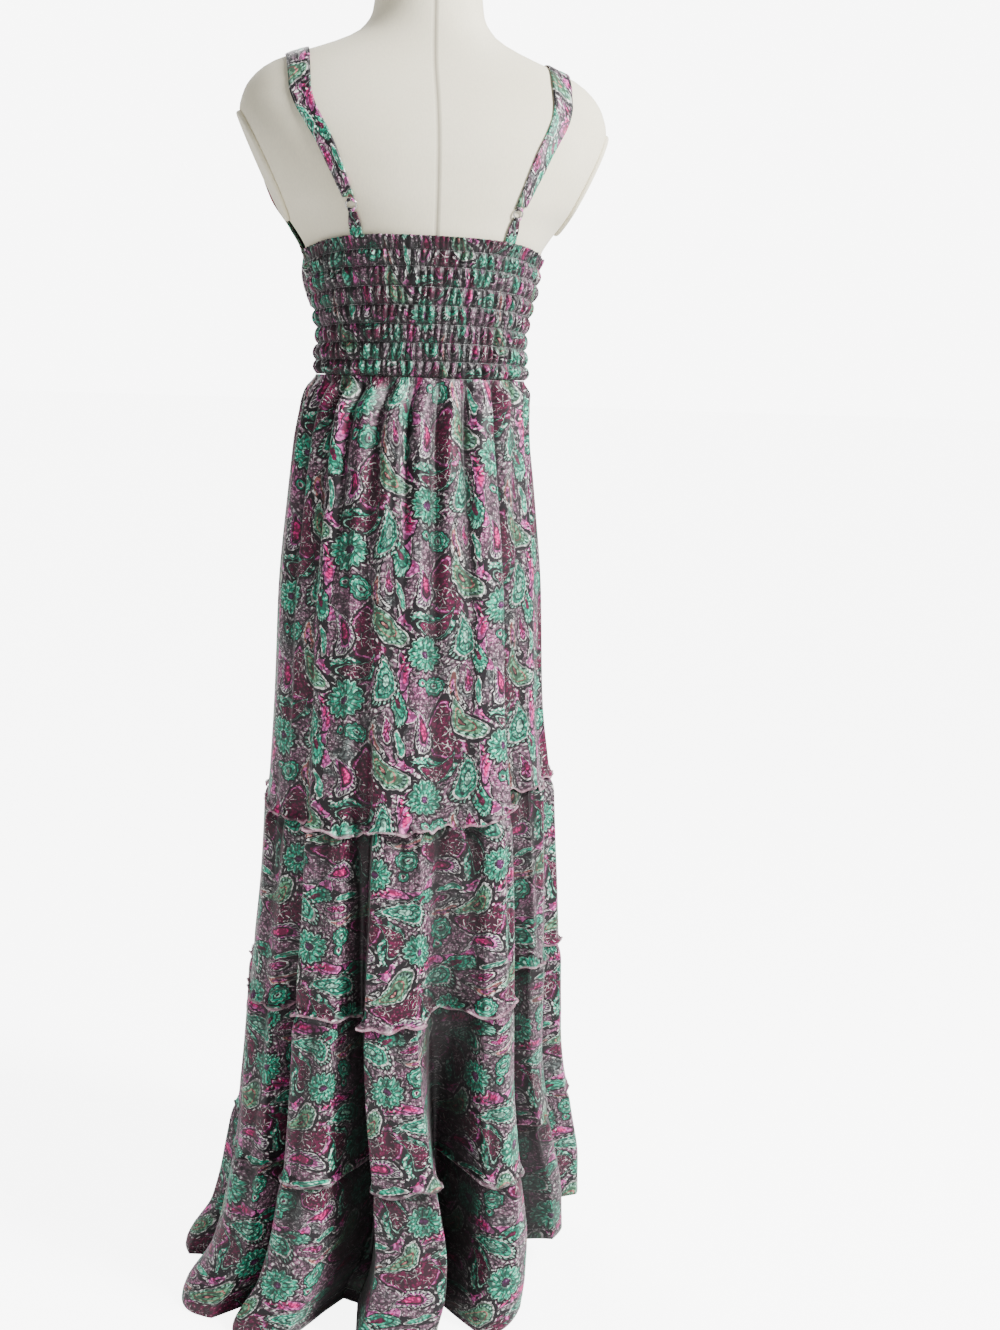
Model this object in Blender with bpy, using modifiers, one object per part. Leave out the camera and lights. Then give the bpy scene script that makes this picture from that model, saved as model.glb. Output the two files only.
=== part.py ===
"""A tiered maxi dress worn by a limbless dress form.

Metres, +Z up. The origin is the centre of the stand's base plate, on the floor. The dress faces +Y, so its
back is towards -Y, and +X is the wearer's right. Angles round the body start at the centre back and grow
towards +X, in degrees.
"""

import math

import bmesh
import bpy
import numpy as np
from mathutils import Vector

# Driving heights
FLOOR_CLEARANCE = 0.001
WAIST_SEAM = 1.085
BACK_TOP = 1.228
CUP_SEAM = 1.156
FORM_BOTTOM = 0.740
NECK_TOP = 1.492

# Cloth
CLOTH = 0.0017
STRAP_THICKNESS = 0.0018
SEAM_GAP = 0.0004
FORM_CLEARANCE = 0.0010
LIP = 0.009
LIP_FLARE = 0.0020
LIP_WAVE = 0.0045
TUCK = 0.0015
WAIST_TURN = 0.006

# Where the side seams run, as angles round the body
LEFT_SEAM = -92.5
RIGHT_SEAM = 98.0

# Shirring of the back panel
PUFF_COLUMNS = 24
POINTS_A_PUFF = 3
PUFF_HEIGHT = 0.0042
# Each band's height, from the top heading down to the waist seam
PUFF_BANDS = (0.0135, 0.0165, 0.0200, 0.0185, 0.0190, 0.0190, 0.0190, 0.0165)

# Stand
BASE_RADIUS = 0.122
BASE_THICKNESS = 0.010
BASE_EDGE = 0.003
HUB_RADIUS = 0.024
HUB_TOP = 0.030
POLE_RADIUS = 0.0125
SOCKET_RADIUS = 0.042
SOCKET_THICKNESS = 0.014
ARM_PLATE = 0.005
ARM_PLATE_INSET = 0.97
NECK_CAP = 0.007

FORM_COLUMNS = 32

FORM_HEADINGS = ("height", "half_width", "back", "front", "roundness")
FORM_SECTIONS = (
    (0.740, 0.118, 0.098, 0.086, 2.1),
    (0.800, 0.124, 0.106, 0.090, 2.1),
    (0.860, 0.126, 0.109, 0.091, 2.1),
    (0.920, 0.122, 0.103, 0.091, 2.1),
    (1.040, 0.105, 0.082, 0.086, 2.1),
    (1.080, 0.106, 0.081, 0.087, 2.1),
    (1.120, 0.110, 0.084, 0.091, 2.1),
    (1.155, 0.116, 0.089, 0.099, 2.1),
    (1.190, 0.123, 0.094, 0.114, 2.1),
    (1.215, 0.127, 0.098, 0.117, 2.1),
    (1.240, 0.141, 0.101, 0.113, 2.1),
    (1.270, 0.166, 0.103, 0.104, 2.2),
    (1.300, 0.185, 0.102, 0.093, 2.2),
    (1.330, 0.196, 0.097, 0.082, 2.2),
    (1.355, 0.199, 0.088, 0.072, 2.1),
    (1.375, 0.194, 0.077, 0.062, 2.0),
    (1.392, 0.182, 0.066, 0.054, 2.0),
    (1.405, 0.164, 0.059, 0.050, 2.0),
    (1.416, 0.136, 0.056, 0.048, 2.0),
    (1.428, 0.102, 0.054, 0.047, 2.0),
    (1.442, 0.074, 0.053, 0.048, 2.0),
    (1.462, 0.060, 0.052, 0.049, 2.0),
    (1.492, 0.056, 0.050, 0.049, 2.0),
)

# The arm openings are flat ovals: a plane through this point of the right side, leaning out at the top,
# cuts the skin above the height where the openings begin.
ARM_CUT_FROM = 1.240
ARM_PLANE_POINT = (0.1675, 0.0, 1.292)
ARM_PLANE_LEAN = 26.0

# The skirt's outline without its folds. shift_x and shift_y move a section's centre: the hem trails to the
# left and to the back.
SKIRT_HEADINGS = ("height", "half_width", "back", "front", "shift_x", "shift_y", "fold")
SKIRT_SECTIONS = (
    (0.000, 0.222, 0.154, 0.160, -0.022, -0.010, 0.0340),
    (0.060, 0.205, 0.154, 0.158, -0.006, -0.008, 0.0330),
    (0.120, 0.195, 0.155, 0.156, 0.000, -0.005, 0.0310),
    (0.200, 0.181, 0.156, 0.154, -0.002, -0.003, 0.0270),
    (0.300, 0.173, 0.154, 0.151, -0.005, -0.002, 0.0210),
    (0.400, 0.171, 0.152, 0.147, -0.004, -0.001, 0.0150),
    (0.500, 0.167, 0.149, 0.142, -0.002, 0.0, 0.0105),
    (0.610, 0.161, 0.145, 0.136, -0.003, 0.0, 0.0070),
    (0.720, 0.153, 0.140, 0.129, -0.007, 0.0, 0.0040),
    (0.840, 0.149, 0.134, 0.121, -0.008, 0.0, 0.0025),
    (0.950, 0.138, 0.121, 0.113, -0.008, 0.0, 0.0020),
    (1.010, 0.130, 0.110, 0.108, -0.008, 0.0, 0.0015),
    (1.045, 0.124, 0.101, 0.105, -0.006, 0.0, 0.0010),
    (1.068, 0.119, 0.094, 0.099, -0.004, 0.0, 0.0),
    (1.085, 0.110, 0.084, 0.0905, -0.001, 0.0, 0.0),
)

# The large folds run from the hips to the hem. Each row is a ridge: its angle, half its width in degrees,
# how far it stands out, how deep the valley after it is at the hem and at the knee, and how many degrees
# it has swung round by the hem.
FOLD_HEADINGS = ("angle", "half_width", "out", "valley", "knee_valley", "drift")
FOLDS = (
    (-72.5, 12.5, 1.15, 1.7, 1.2, 6.0),
    (-38.0, 8.5, 1.00, 2.1, 1.5, -3.0),
    (-10.0, 8.5, 1.10, 2.2, 1.6, 11.0),
    (27.0, 9.0, 1.05, 1.6, 2.8, -4.0),
    (60.0, 7.0, 0.10, 1.2, 0.6, 10.0),
    (84.0, 7.0, 1.20, 1.4, 1.0, 19.0),
    (111.0, 7.0, 0.90, 1.6, 1.2, 12.0),
    (138.0, 8.0, 1.00, 1.7, 1.2, 4.0),
    (164.0, 8.0, 0.90, 1.8, 1.2, 0.0),
    (190.0, 8.0, 1.00, 1.7, 1.2, 0.0),
    (216.0, 8.0, 0.90, 1.6, 1.2, 0.0),
    (251.0, 10.0, 1.00, 1.6, 1.2, 0.0),
)
DRIFT_HEIGHT = 0.42
RIDGE_ROUNDING = 0.30
VALLEY_SQUARENESS = 0.75
VALLEY_POINTS = (0.25, 0.50, 0.75)

# The tiers from the top: seam height at the back, how much higher it lies at the right front, the number
# of small gathers under the seam, how far they stand out and how far down they reach.
TIER_HEADINGS = ("top", "lift", "gathers", "gather_depth", "gather_reach", "rows")
TIERS = (
    (WAIST_SEAM, 0.000, 24, 0.0030, 0.16, (0.0, 0.035, 0.10, 0.22, 0.45, 0.72, 1.0)),
    (0.608, 0.030, 24, 0.0034, 0.09, (0.0, 0.06, 0.18, 0.45, 0.75, 1.0)),
    (0.390, 0.034, 24, 0.0040, 0.09, (0.0, 0.06, 0.18, 0.45, 0.75, 1.0)),
    (0.195, 0.022, 24, 0.0040, 0.08, (0.0, 0.06, 0.20, 0.45, 0.72, 1.0)),
)
LIFT_ANGLES = (24.0, 54.0, 130.0, 205.0)
SEAM_WAVE = 0.003
HEM_LIFT = 0.050
HEM_RAISE = 0.012
# Near the floor the valleys stay clear of the base plate: fully below one height, not at all above another
HEM_CLEAR = BASE_RADIUS + 0.007
HEM_CLEAR_FULL = 0.024
HEM_CLEAR_TOP = 0.110

# The front neckline and armhole edge, at the top of the cups
CUP_HEADINGS = ("angle", "top", "fullness")
CUP_EDGE = (
    (98.0, 1.213, 0.0040),
    (104.0, 1.228, 0.0040),
    (110.0, 1.247, 0.0050),
    (116.0, 1.275, 0.0060),
    (120.0, 1.298, 0.0060),
    (126.0, 1.322, 0.0040),
    (134.0, 1.338, 0.0020),
    (143.0, 1.345, 0.0010),
    (152.0, 1.342, 0.0010),
    (162.0, 1.292, 0.0020),
    (171.0, 1.236, 0.0030),
    (180.0, 1.192, 0.0030),
)
CUP_ROWS = (0.0, 0.08, 0.25, 0.45, 0.70, 1.0)
CUP_PUFF = 0.0085

# Straps: the sideways place and width of each strap from the cup, over the shoulder, to the ring
STRAP_HEADINGS = ("share", "x", "width")
STRAP_ROUTE = (
    (0.00, 0.104, 0.021),
    (0.18, 0.122, 0.024),
    (0.36, 0.139, 0.024),
    (0.60, 0.138, 0.022),
    (0.82, 0.112, 0.018),
    (1.00, 0.090, 0.012),
)
STRAP_CORE = 1.355
STRAP_FRONT_FOOT = 1.3455
STRAP_STATIONS = 20
RING_HEIGHT = 1.2560
RING_X = 0.0865
RING_RADIUS = 0.0055
RING_WIRE = 0.0009
TAB_FOOT_X = 0.080
TAB_WIDTH = 0.012

FORM_CLOTH_COLOUR = (0.86, 0.84, 0.76)
PLATE_COLOUR = (0.80, 0.79, 0.72)
PRINT_COLOUR = (0.42, 0.43, 0.43)
RING_COLOUR = (0.78, 0.78, 0.76)
STAND_COLOUR = (0.82, 0.82, 0.80)


def rows_of(headings, rows):
    """A table's rows as dictionaries, one for each section or fold."""
    return [dict(zip(headings, row)) for row in rows]


def read_table(table, key, at, wanted):
    """One column of a table at any place along its key column, on a smooth curve through the rows."""
    keys = [row[key] for row in table]
    values = [row[wanted] for row in table]
    at = min(max(at, keys[0]), keys[-1])
    i = max(0, min(len(keys) - 2, sum(1 for k in keys if k <= at) - 1))
    span = keys[i + 1] - keys[i]

    def slope(j):
        if j == 0 or j == len(keys) - 1:
            return 0.0 if j == 0 else (values[j] - values[j - 1]) / (keys[j] - keys[j - 1])
        before = (values[j] - values[j - 1]) / (keys[j] - keys[j - 1])
        after = (values[j + 1] - values[j]) / (keys[j + 1] - keys[j])
        return 0.0 if before * after <= 0 else 2 * before * after / (before + after)

    t = (at - keys[i]) / span
    rise = values[i + 1] - values[i]
    start = slope(i) * span
    end = slope(i + 1) * span
    bend = t * (1 - t) * ((1 - t) * (start - rise) - t * (end - rise))
    return values[i] + rise * t + bend


def smoothstep(x):
    x = min(max(x, 0.0), 1.0)
    return x * x * (3 - 2 * x)


FORM_TABLE = rows_of(FORM_HEADINGS, FORM_SECTIONS)
SKIRT_TABLE = rows_of(SKIRT_HEADINGS, SKIRT_SECTIONS)
FOLD_TABLE = rows_of(FOLD_HEADINGS, FOLDS)
TIER_TABLE = rows_of(TIER_HEADINGS, TIERS)
CUP_TABLE = rows_of(CUP_HEADINGS, CUP_EDGE)
STRAP_TABLE = rows_of(STRAP_HEADINGS, STRAP_ROUTE)


def oval(angle, half_width, back, front, roundness=2.0):
    """A point of a horizontal section, a rounded oval whose back and front halves differ in depth."""
    sideways = math.sin(math.radians(angle))
    backwards = math.cos(math.radians(angle))
    depth = back if backwards > 0 else front
    power = 2.0 / roundness
    x = half_width * math.copysign(abs(sideways) ** power, sideways)
    y = -depth * math.copysign(abs(backwards) ** power, backwards)
    return x, y


def form_point(angle, height, outwards=0.0):
    """A point on the dress form's skin, or that far outside it."""

    def skin(a):
        return oval(a, *(read_table(FORM_TABLE, "height", height, name) for name in FORM_HEADINGS[1:]))

    x, y = skin(angle)
    if outwards:
        x0, y0 = skin(angle - 1.0)
        x1, y1 = skin(angle + 1.0)
        along = Vector((x1 - x0, y1 - y0)).normalized()
        x += along.y * outwards
        y -= along.x * outwards
    return Vector((x, y, height))


def inside_form(point):
    """True where a point lies inside the dress form's skin."""
    if not FORM_BOTTOM < point.z < NECK_TOP:
        return False
    half_width, back, front, roundness = (
        read_table(FORM_TABLE, "height", point.z, name) for name in FORM_HEADINGS[1:]
    )
    depth = back if point.y < 0 else front
    return abs(point.x / half_width) ** roundness + abs(point.y / depth) ** roundness < 1


def skin_along(start, direction):
    """Where a line from inside the dress form comes out of its skin, by halving."""
    low, high = 0.0, 0.3
    while high - low > 0.00002:
        middle = (low + high) / 2
        if inside_form(start + direction * middle):
            low = middle
        else:
            high = middle
    return start + direction * low


def fold_neighbours():
    """Each fold with the one after it, the last fold's next one a whole turn on."""
    for k, here in enumerate(FOLD_TABLE):
        after = dict(FOLD_TABLE[(k + 1) % len(FOLD_TABLE)])
        after["angle"] += 360.0 if k == len(FOLD_TABLE) - 1 else 0.0
        yield here, after


def fold_wave(angle, height=0.0):
    """The large folds as a wave round the body: rounded ridges near +1 and steep valleys near -1."""
    first = FOLD_TABLE[0]["angle"] - FOLD_TABLE[0]["half_width"]
    angle = (angle - first) % 360.0 + first
    knee = smoothstep((height - 0.15) / 0.35)
    for here, after in fold_neighbours():
        start = here["angle"] + here["half_width"]
        end = after["angle"] - after["half_width"]
        if angle <= start:
            across = (angle - here["angle"]) / here["half_width"]
            return here["out"] * (1.0 - RIDGE_ROUNDING * across * across)
        if angle <= end:
            share = (angle - start) / (end - start)
            edge = (1.0 - RIDGE_ROUNDING) * (here["out"] + (after["out"] - here["out"]) * smoothstep(share))
            valley = here["valley"] + (here["knee_valley"] - here["valley"]) * knee
            return edge - (edge + valley) * math.sin(math.pi * share) ** VALLEY_SQUARENESS
    return 0.0


def drifted(angle, height):
    """Where a column of the skirt lies at a height: near the hem some folds have swung round."""
    first = FOLD_TABLE[0]["angle"]
    angle = (angle - first) % 360.0 + first
    for here, after in fold_neighbours():
        if angle <= after["angle"]:
            share = smoothstep((angle - here["angle"]) / (after["angle"] - here["angle"]))
            drift = here["drift"] + (after["drift"] - here["drift"]) * share
            return angle + drift * (1.0 - smoothstep(height / DRIFT_HEIGHT))
    return angle


def gather_wave(angle, count):
    """Small uneven gathers round the body."""
    a = math.radians(angle)
    return math.cos(count * a + 0.9 * math.sin(3 * a + 1.0) + 0.6 * math.sin(7 * a))


def seam_height(index, angle):
    """The height of the seam above a tier, or of the hem. All of them are hitched up at the right."""
    begin, full, still, end = LIFT_ANGLES
    turned = (angle - begin + 90.0) % 360.0 + begin - 90.0
    lift = smoothstep((turned - begin) / (full - begin)) * smoothstep((end - turned) / (end - still))
    if index >= len(TIER_TABLE):
        valley = 0.5 - 0.5 * max(-1.0, min(1.0, fold_wave(angle)))
        return FLOOR_CLEARANCE + HEM_RAISE * valley * valley + HEM_LIFT * lift
    tier = TIER_TABLE[index]
    wave = SEAM_WAVE * math.sin(math.radians(3 * angle) + 0.7 * index) if index else 0.0
    return tier["top"] + tier["lift"] * lift + wave


def skirt_point(angle, height, gathers):
    """A point of the skirt's outer face: the section there, pushed out or in by the folds and gathers."""
    row = {name: read_table(SKIRT_TABLE, "height", height, name) for name in SKIRT_HEADINGS[1:]}
    x, y = oval(drifted(angle, height), row["half_width"], row["back"], row["front"], 2.15)
    away = Vector((x, y)).normalized()
    out = row["fold"] * fold_wave(angle, height) + gathers
    x += away.x * out + row["shift_x"]
    y += away.y * out + row["shift_y"]
    reach = math.hypot(x, y)
    clear = HEM_CLEAR * smoothstep((HEM_CLEAR_TOP - height) / (HEM_CLEAR_TOP - HEM_CLEAR_FULL)) ** 0.5
    if reach < clear:
        x *= clear / reach
        y *= clear / reach
    return Vector((x, y, height))


def fold_angles():
    """The angles of the skirt's columns of points: three on each ridge and three in each valley."""
    angles = []
    for here, after in fold_neighbours():
        start = here["angle"] + here["half_width"]
        end = after["angle"] - after["half_width"]
        angles += [here["angle"] - here["half_width"], here["angle"], start]
        angles += [start + (end - start) * share for share in VALLEY_POINTS]
    return angles


def panel_columns(angles, front):
    """Which columns of the whole ring belong to a back or a front panel, from one side seam to the other."""
    start, end = (RIGHT_SEAM, LEFT_SEAM) if front else (LEFT_SEAM, RIGHT_SEAM)

    def nearest(wanted):
        return min(range(len(angles)), key=lambda i: abs((angles[i] - wanted + 180.0) % 360.0 - 180.0))

    first = nearest(start)
    count = (nearest(end) - first) % len(angles)
    return [(first + i) % len(angles) for i in range(count + 1)]


def panel_row(ring, columns):
    """A panel's part of a closed row of points, with both ends drawn in by half the seam's gap."""
    row = [ring[i].copy() for i in columns]
    for end, step in ((0, 1), (-1, -1)):
        i = columns[end]
        along = ring[(i + 1) % len(ring)] - ring[i - 1]
        row[end] += along.normalized() * step * SEAM_GAP / 2
    return row


def ring_normals(points):
    """The outward direction in the level plane at each point of a row, lengthened at corners like a mitre, so
    that a row moved along them stays the same distance from every edge."""
    edges = []
    for here, after in zip(points, points[1:]):
        along = (after - here).xy.normalized()
        edges.append(Vector((along.y, -along.x, 0.0)))
    normals = [edges[0]]
    for before, after in zip(edges, edges[1:]):
        normals.append((before + after) / max(1.0 + before.dot(after), 0.16))
    return normals + [edges[-1]]


def moved_out(row, distance):
    """A row of points moved along its own outward directions."""
    return [p + n * distance for p, n in zip(row, ring_normals(row))]


def trimmed_ends(row, gap):
    """A row whose two ends are drawn in along the row by half the seam's gap."""
    row = list(row)
    row[0] = row[0] + (row[1] - row[0]).normalized() * gap / 2
    row[-1] = row[-1] + (row[-2] - row[-1]).normalized() * gap / 2
    return row


def new_object(name, bm, material, smooth_angle=50.0):
    mesh = bpy.data.meshes.new(name)
    bmesh.ops.recalc_face_normals(bm, faces=bm.faces)
    bm.to_mesh(mesh)
    bm.free()
    mesh.shade_smooth()
    mesh.set_sharp_from_angle(angle=math.radians(smooth_angle))
    mesh.materials.append(material)
    obj = bpy.data.objects.new(name, mesh)
    collection().objects.link(obj)
    return obj


def wall(name, outer, inner, material, across=1, down=1):
    """A cloth wall between two grids of points. The inner grid may be coarser, by whole steps across and
    down, and the rims between them are filled with one face for each inner step. Both faces are split along
    the same diagonals, so that the wall keeps its thickness where the cloth twists."""
    bm = bmesh.new()
    face_out = [[bm.verts.new(p) for p in row] for row in outer]
    face_in = [[bm.verts.new(p) for p in row] for row in inner]
    rows, columns = len(outer), len(outer[0])
    for grid, flip in ((face_out, False), (face_in, True)):
        for i in range(len(grid) - 1):
            for j in range(len(grid[0]) - 1):
                near, far = (grid[i][j], grid[i][j + 1]), (grid[i + 1][j], grid[i + 1][j + 1])
                for corners in ((near[0], near[1], far[1]), (near[0], far[1], far[0])):
                    bm.faces.new(corners[::-1] if flip else corners)
    for i_out, i_in in ((0, 0), (rows - 1, len(inner) - 1)):
        for j in range(len(inner[0]) - 1):
            fine = [face_out[i_out][j * across + k] for k in range(across + 1)]
            bm.faces.new(fine + [face_in[i_in][j + 1], face_in[i_in][j]])
    for j_out, j_in in ((0, 0), (columns - 1, len(inner[0]) - 1)):
        for i in range(len(inner) - 1):
            fine = [face_out[i * down + k][j_out] for k in range(down + 1)]
            bm.faces.new(fine + [face_in[i + 1][j_in], face_in[i][j_in]])
    return new_object(name, bm, material)


def make_material(name, colour, roughness, metallic=0.0):
    material = bpy.data.materials.new(name)
    material.use_nodes = True
    shader = material.node_tree.nodes["Principled BSDF"]
    shader.inputs["Base Color"].default_value = (*colour, 1.0)
    shader.inputs["Roughness"].default_value = roughness
    shader.inputs["Metallic"].default_value = metallic
    return material


def collection(name="tiered_maxi_dress"):
    found = bpy.data.collections.get(name)
    if found is None:
        found = bpy.data.collections.new(name)
        bpy.context.scene.collection.children.link(found)
    return found


def take(obj, material):
    """Moves a new primitive to the dress's collection and gives it its material."""
    for owner in list(obj.users_collection):
        owner.objects.unlink(obj)
    collection().objects.link(obj)
    obj.data.materials.append(material)
    obj.data.shade_smooth()
    obj.data.set_sharp_from_angle(angle=math.radians(40.0))
    return obj


def skirt_row(angles, heights, gathers):
    """A row of the skirt's outer face, with the outward direction of the level section at each point."""
    count = len(angles)
    points, normals = [], []
    for i, z in enumerate(heights):
        around = [skirt_point(angles[j % count], z, gathers[j % count]) for j in (i - 1, i, i + 1)]
        points.append(around[1])
        normals.append(ring_normals(around)[1])
    return points, normals


def tier_walls(index, print_cloth):
    """The back and front panels of a tier, tucked behind the tier above, with a wavy lip at the foot."""
    tier = TIER_TABLE[index]
    angles = fold_angles()
    tucked = index > 0
    hem = index == len(TIER_TABLE) - 1
    waves = [gather_wave(a, tier["gathers"]) for a in angles]
    flat = [0.0] * len(angles)
    tops = [seam_height(index, a) for a in angles]
    feet = [seam_height(index + 1, a) for a in angles]
    outer, inner = [], []

    def add_row(heights, gathers, moves):
        points, normals = skirt_row(angles, heights, gathers)
        outer.append([p + n * m for p, n, m in zip(points, normals, moves)])
        inner.append([p + n * (m - CLOTH) for p, n, m in zip(points, normals, moves)])

    if tucked:
        add_row([z + TUCK for z in tops], flat, [-CLOTH - SEAM_GAP] * len(angles))
        starts = [z - LIP - TUCK * 2 for z in tops]
    else:
        outer.append([form_point(a, z - SEAM_GAP, FORM_CLEARANCE + CLOTH) for a, z in zip(angles, tops)])
        inner.append([form_point(a, z - SEAM_GAP, FORM_CLEARANCE) for a, z in zip(angles, tops)])
        starts = [z - WAIST_TURN for z in tops]
    ends = [z + (0.0 if hem else TUCK) for z in feet]
    for n, share in enumerate(tier["rows"]):
        drop = share * (starts[0] - ends[0])
        fade = 1.0 if hem else 1.0 - smoothstep((share - 0.55) / 0.40)
        depth = tier["gather_depth"] * smoothstep(drop / 0.02) * math.exp(-drop / tier["gather_reach"]) * fade
        inwards = (CLOTH + SEAM_GAP) * max(0.0, 1.0 - n * 0.6) if tucked else 0.0
        heights = [top + (foot - top) * share for top, foot in zip(starts, ends)]
        add_row(heights, [depth * w for w in waves], [-inwards] * len(angles))
    if not hem:
        for share in (0.4, 1.0):
            flare = []
            for a, z, w in zip(angles, feet, waves):
                on_ridge = smoothstep(0.6 + 0.5 * fold_wave(a, z))
                flare.append((LIP_FLARE + LIP_WAVE * (0.5 + 0.5 * w)) * share ** 1.5 * on_ridge)
            add_row([z - LIP * share for z in feet], flat, flare)
    for front in (False, True):
        columns = panel_columns(angles, front)
        grids = [[panel_row(ring, columns) for ring in grid] for grid in (outer, inner)]
        wall(f"tier_{index + 1}_" + ("front" if front else "back"), *grids, print_cloth)


def puff(column, band):
    """How far the shirred cloth puffs out, from 0 in the valleys between its small folds to 1."""
    shift = 0.37 * band + 0.5 * math.sin(2.3 * band) + 0.35 * math.sin(0.9 * column + 1.7 * band)
    return 0.5 + 0.5 * math.cos(2 * math.pi * (column / POINTS_A_PUFF + shift))


def shirred_back(print_cloth):
    """The back panel: rows of puffs between elastic rows, raised on the outer face over a plain inside."""
    columns = PUFF_COLUMNS * POINTS_A_PUFF
    angles = [LEFT_SEAM + (RIGHT_SEAM - LEFT_SEAM) * j / columns for j in range(columns + 1)]
    full = sum(PUFF_BANDS)

    def height_at(depth, angle):
        top = BACK_TOP - 0.013 * math.sin(math.radians(angle)) ** 4
        return top + (WAIST_SEAM - top) * depth / full

    outer, inner, depth = [], [], 0.0
    levels = [(0.0, 0.35, 0)]
    for band, tall in enumerate(PUFF_BANDS):
        levels.append((depth + tall * 0.5, 1.0, band))
        depth += tall
        levels.append((depth, 0.10, band))
    for n, (down, swell, band) in enumerate(levels):
        row = []
        for j, a in enumerate(angles):
            z = height_at(down, a)
            edge = smoothstep(min(j, columns - j) / 2.0)
            raised = PUFF_HEIGHT * swell * (0.30 + 0.70 * puff(j, band)) * (0.25 + 0.75 * edge)
            row.append(form_point(a, z, FORM_CLEARANCE + CLOTH + raised))
        outer.append(row)
        if n % 4 == 0:
            plain = [form_point(a, height_at(down, a), FORM_CLEARANCE) for a in angles[::POINTS_A_PUFF]]
            inner.append(plain)
    outer = [trimmed_ends(row, SEAM_GAP) for row in outer]
    inner = [trimmed_ends(row, SEAM_GAP) for row in inner]
    return wall("bodice_back", outer, inner, print_cloth, across=POINTS_A_PUFF, down=4)


def cup_angles(right):
    """The columns of a cup, from its side seam to the centre front."""
    side = RIGHT_SEAM if right else 360.0 + LEFT_SEAM
    return [side + (180.0 - side) * j / 12 for j in range(13)]


def cup(right, print_cloth):
    """A front cup: gathered under the bust, full over it, and cut away to the armhole and the neckline."""
    angles = cup_angles(right)
    outer, inner = [], []
    side = min(RIGHT_SEAM, -LEFT_SEAM)
    for share in reversed(CUP_ROWS):
        places = [(a if right else 360.0 - a) for a in angles]
        places = [CUP_EDGE[0][0] + (a - side) * (180.0 - CUP_EDGE[0][0]) / (180.0 - side) for a in places]
        face_in, face_out = [], []
        for a, place in zip(angles, places):
            top = read_table(CUP_TABLE, "angle", place, "top")
            z = CUP_SEAM + SEAM_GAP + (top - CUP_SEAM - SEAM_GAP) * share
            full = CUP_PUFF * math.sin(math.pi * min(1.0, share * 1.15 + 0.12)) ** 0.8
            rim = read_table(CUP_TABLE, "angle", place, "fullness") * share
            off = FORM_CLEARANCE + max(full, rim)
            face_in.append(form_point(a, z, off))
            face_out.append(form_point(a, z, off + CLOTH))
        for face, grid in ((face_out, outer), (face_in, inner)):
            grid.append(trimmed_ends(face if right else face[::-1], SEAM_GAP))
    return wall("cup_right" if right else "cup_left", outer, inner, print_cloth)


def midriff(print_cloth):
    """The plain band between the cups and the skirt."""
    angles = [RIGHT_SEAM + (360.0 + LEFT_SEAM - RIGHT_SEAM) * j / 20 for j in range(21)]
    heights = [CUP_SEAM + (WAIST_SEAM - CUP_SEAM) * k / 3 for k in range(4)]
    outer = [[form_point(a, z, FORM_CLEARANCE + CLOTH) for a in angles] for z in heights]
    outer = [trimmed_ends(row, SEAM_GAP) for row in outer]
    inner = [moved_out(row, -CLOTH) for row in outer]
    return wall("front_midriff", outer, inner, print_cloth)


def strap_route(share):
    """The core point and direction that find the strap on the skin: up the chest, over, down the back."""
    front_run = max(STRAP_CORE - STRAP_FRONT_FOOT, 0.0)
    arc = math.pi * 0.055
    back_foot = RING_HEIGHT + RING_RADIUS + RING_WIRE + SEAM_GAP
    back_run = STRAP_CORE - back_foot
    along = share * (front_run + arc + back_run)
    if along < front_run:
        return STRAP_FRONT_FOOT + along, 0.0
    if along < front_run + arc:
        return STRAP_CORE, math.pi * (along - front_run) / arc
    return STRAP_CORE - (along - front_run - arc), math.pi


def skin_row(side, x, width, core_height, turn, lift):
    """Three points across a strap, that far off the skin."""
    row = []
    direction = Vector((0.0, math.cos(turn), math.sin(turn)))
    for k in (-0.5, 0.0, 0.5):
        core = Vector((side * (x + k * width), 0.0, core_height))
        row.append(skin_along(core, direction) + direction * lift)
    return row if side > 0 else row[::-1]


def ribbon(name, skin_rows, thickness, print_cloth):
    """A flat strap as a wall on rows of three points, thickened away from the body."""
    outer = []
    for i, row in enumerate(skin_rows):
        before = skin_rows[max(i - 1, 0)]
        after = skin_rows[min(i + 1, len(skin_rows) - 1)]
        across = (row[2] - row[0]).normalized()
        away = across.cross((after[1] - before[1]).normalized()).normalized()
        if away.dot(row[1] - Vector((row[1].x, 0.0, STRAP_CORE - 0.1))) < 0:
            away = -away
        outer.append([p + away * thickness for p in row])
    return wall(name, outer, skin_rows, print_cloth)


def strap(side, print_cloth):
    """The upper strap, from the cup's point over the shoulder to the ring."""
    rows = []
    for i in range(STRAP_STATIONS + 1):
        share = i / STRAP_STATIONS
        core_height, turn = strap_route(share)
        x = read_table(STRAP_TABLE, "share", share, "x")
        width = read_table(STRAP_TABLE, "share", share, "width")
        rows.append(skin_row(side, x, width, core_height, turn, FORM_CLEARANCE))
    return ribbon("strap_right" if side > 0 else "strap_left", rows, STRAP_THICKNESS, print_cloth)


def strap_tab(side, print_cloth):
    """The lower strap, from the ring to the top edge of the back panel."""
    top = RING_HEIGHT - RING_RADIUS - RING_WIRE - SEAM_GAP
    foot = BACK_TOP + SEAM_GAP
    rows = []
    for i in range(4):
        share = i / 3
        x = RING_X + (TAB_FOOT_X - RING_X) * (0.25 + 0.75 * share)
        rows.append(skin_row(side, x, TAB_WIDTH, top + (foot - top) * share, math.pi, FORM_CLEARANCE))
    return ribbon("strap_tab_right" if side > 0 else "strap_tab_left", rows, STRAP_THICKNESS, print_cloth)


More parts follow.
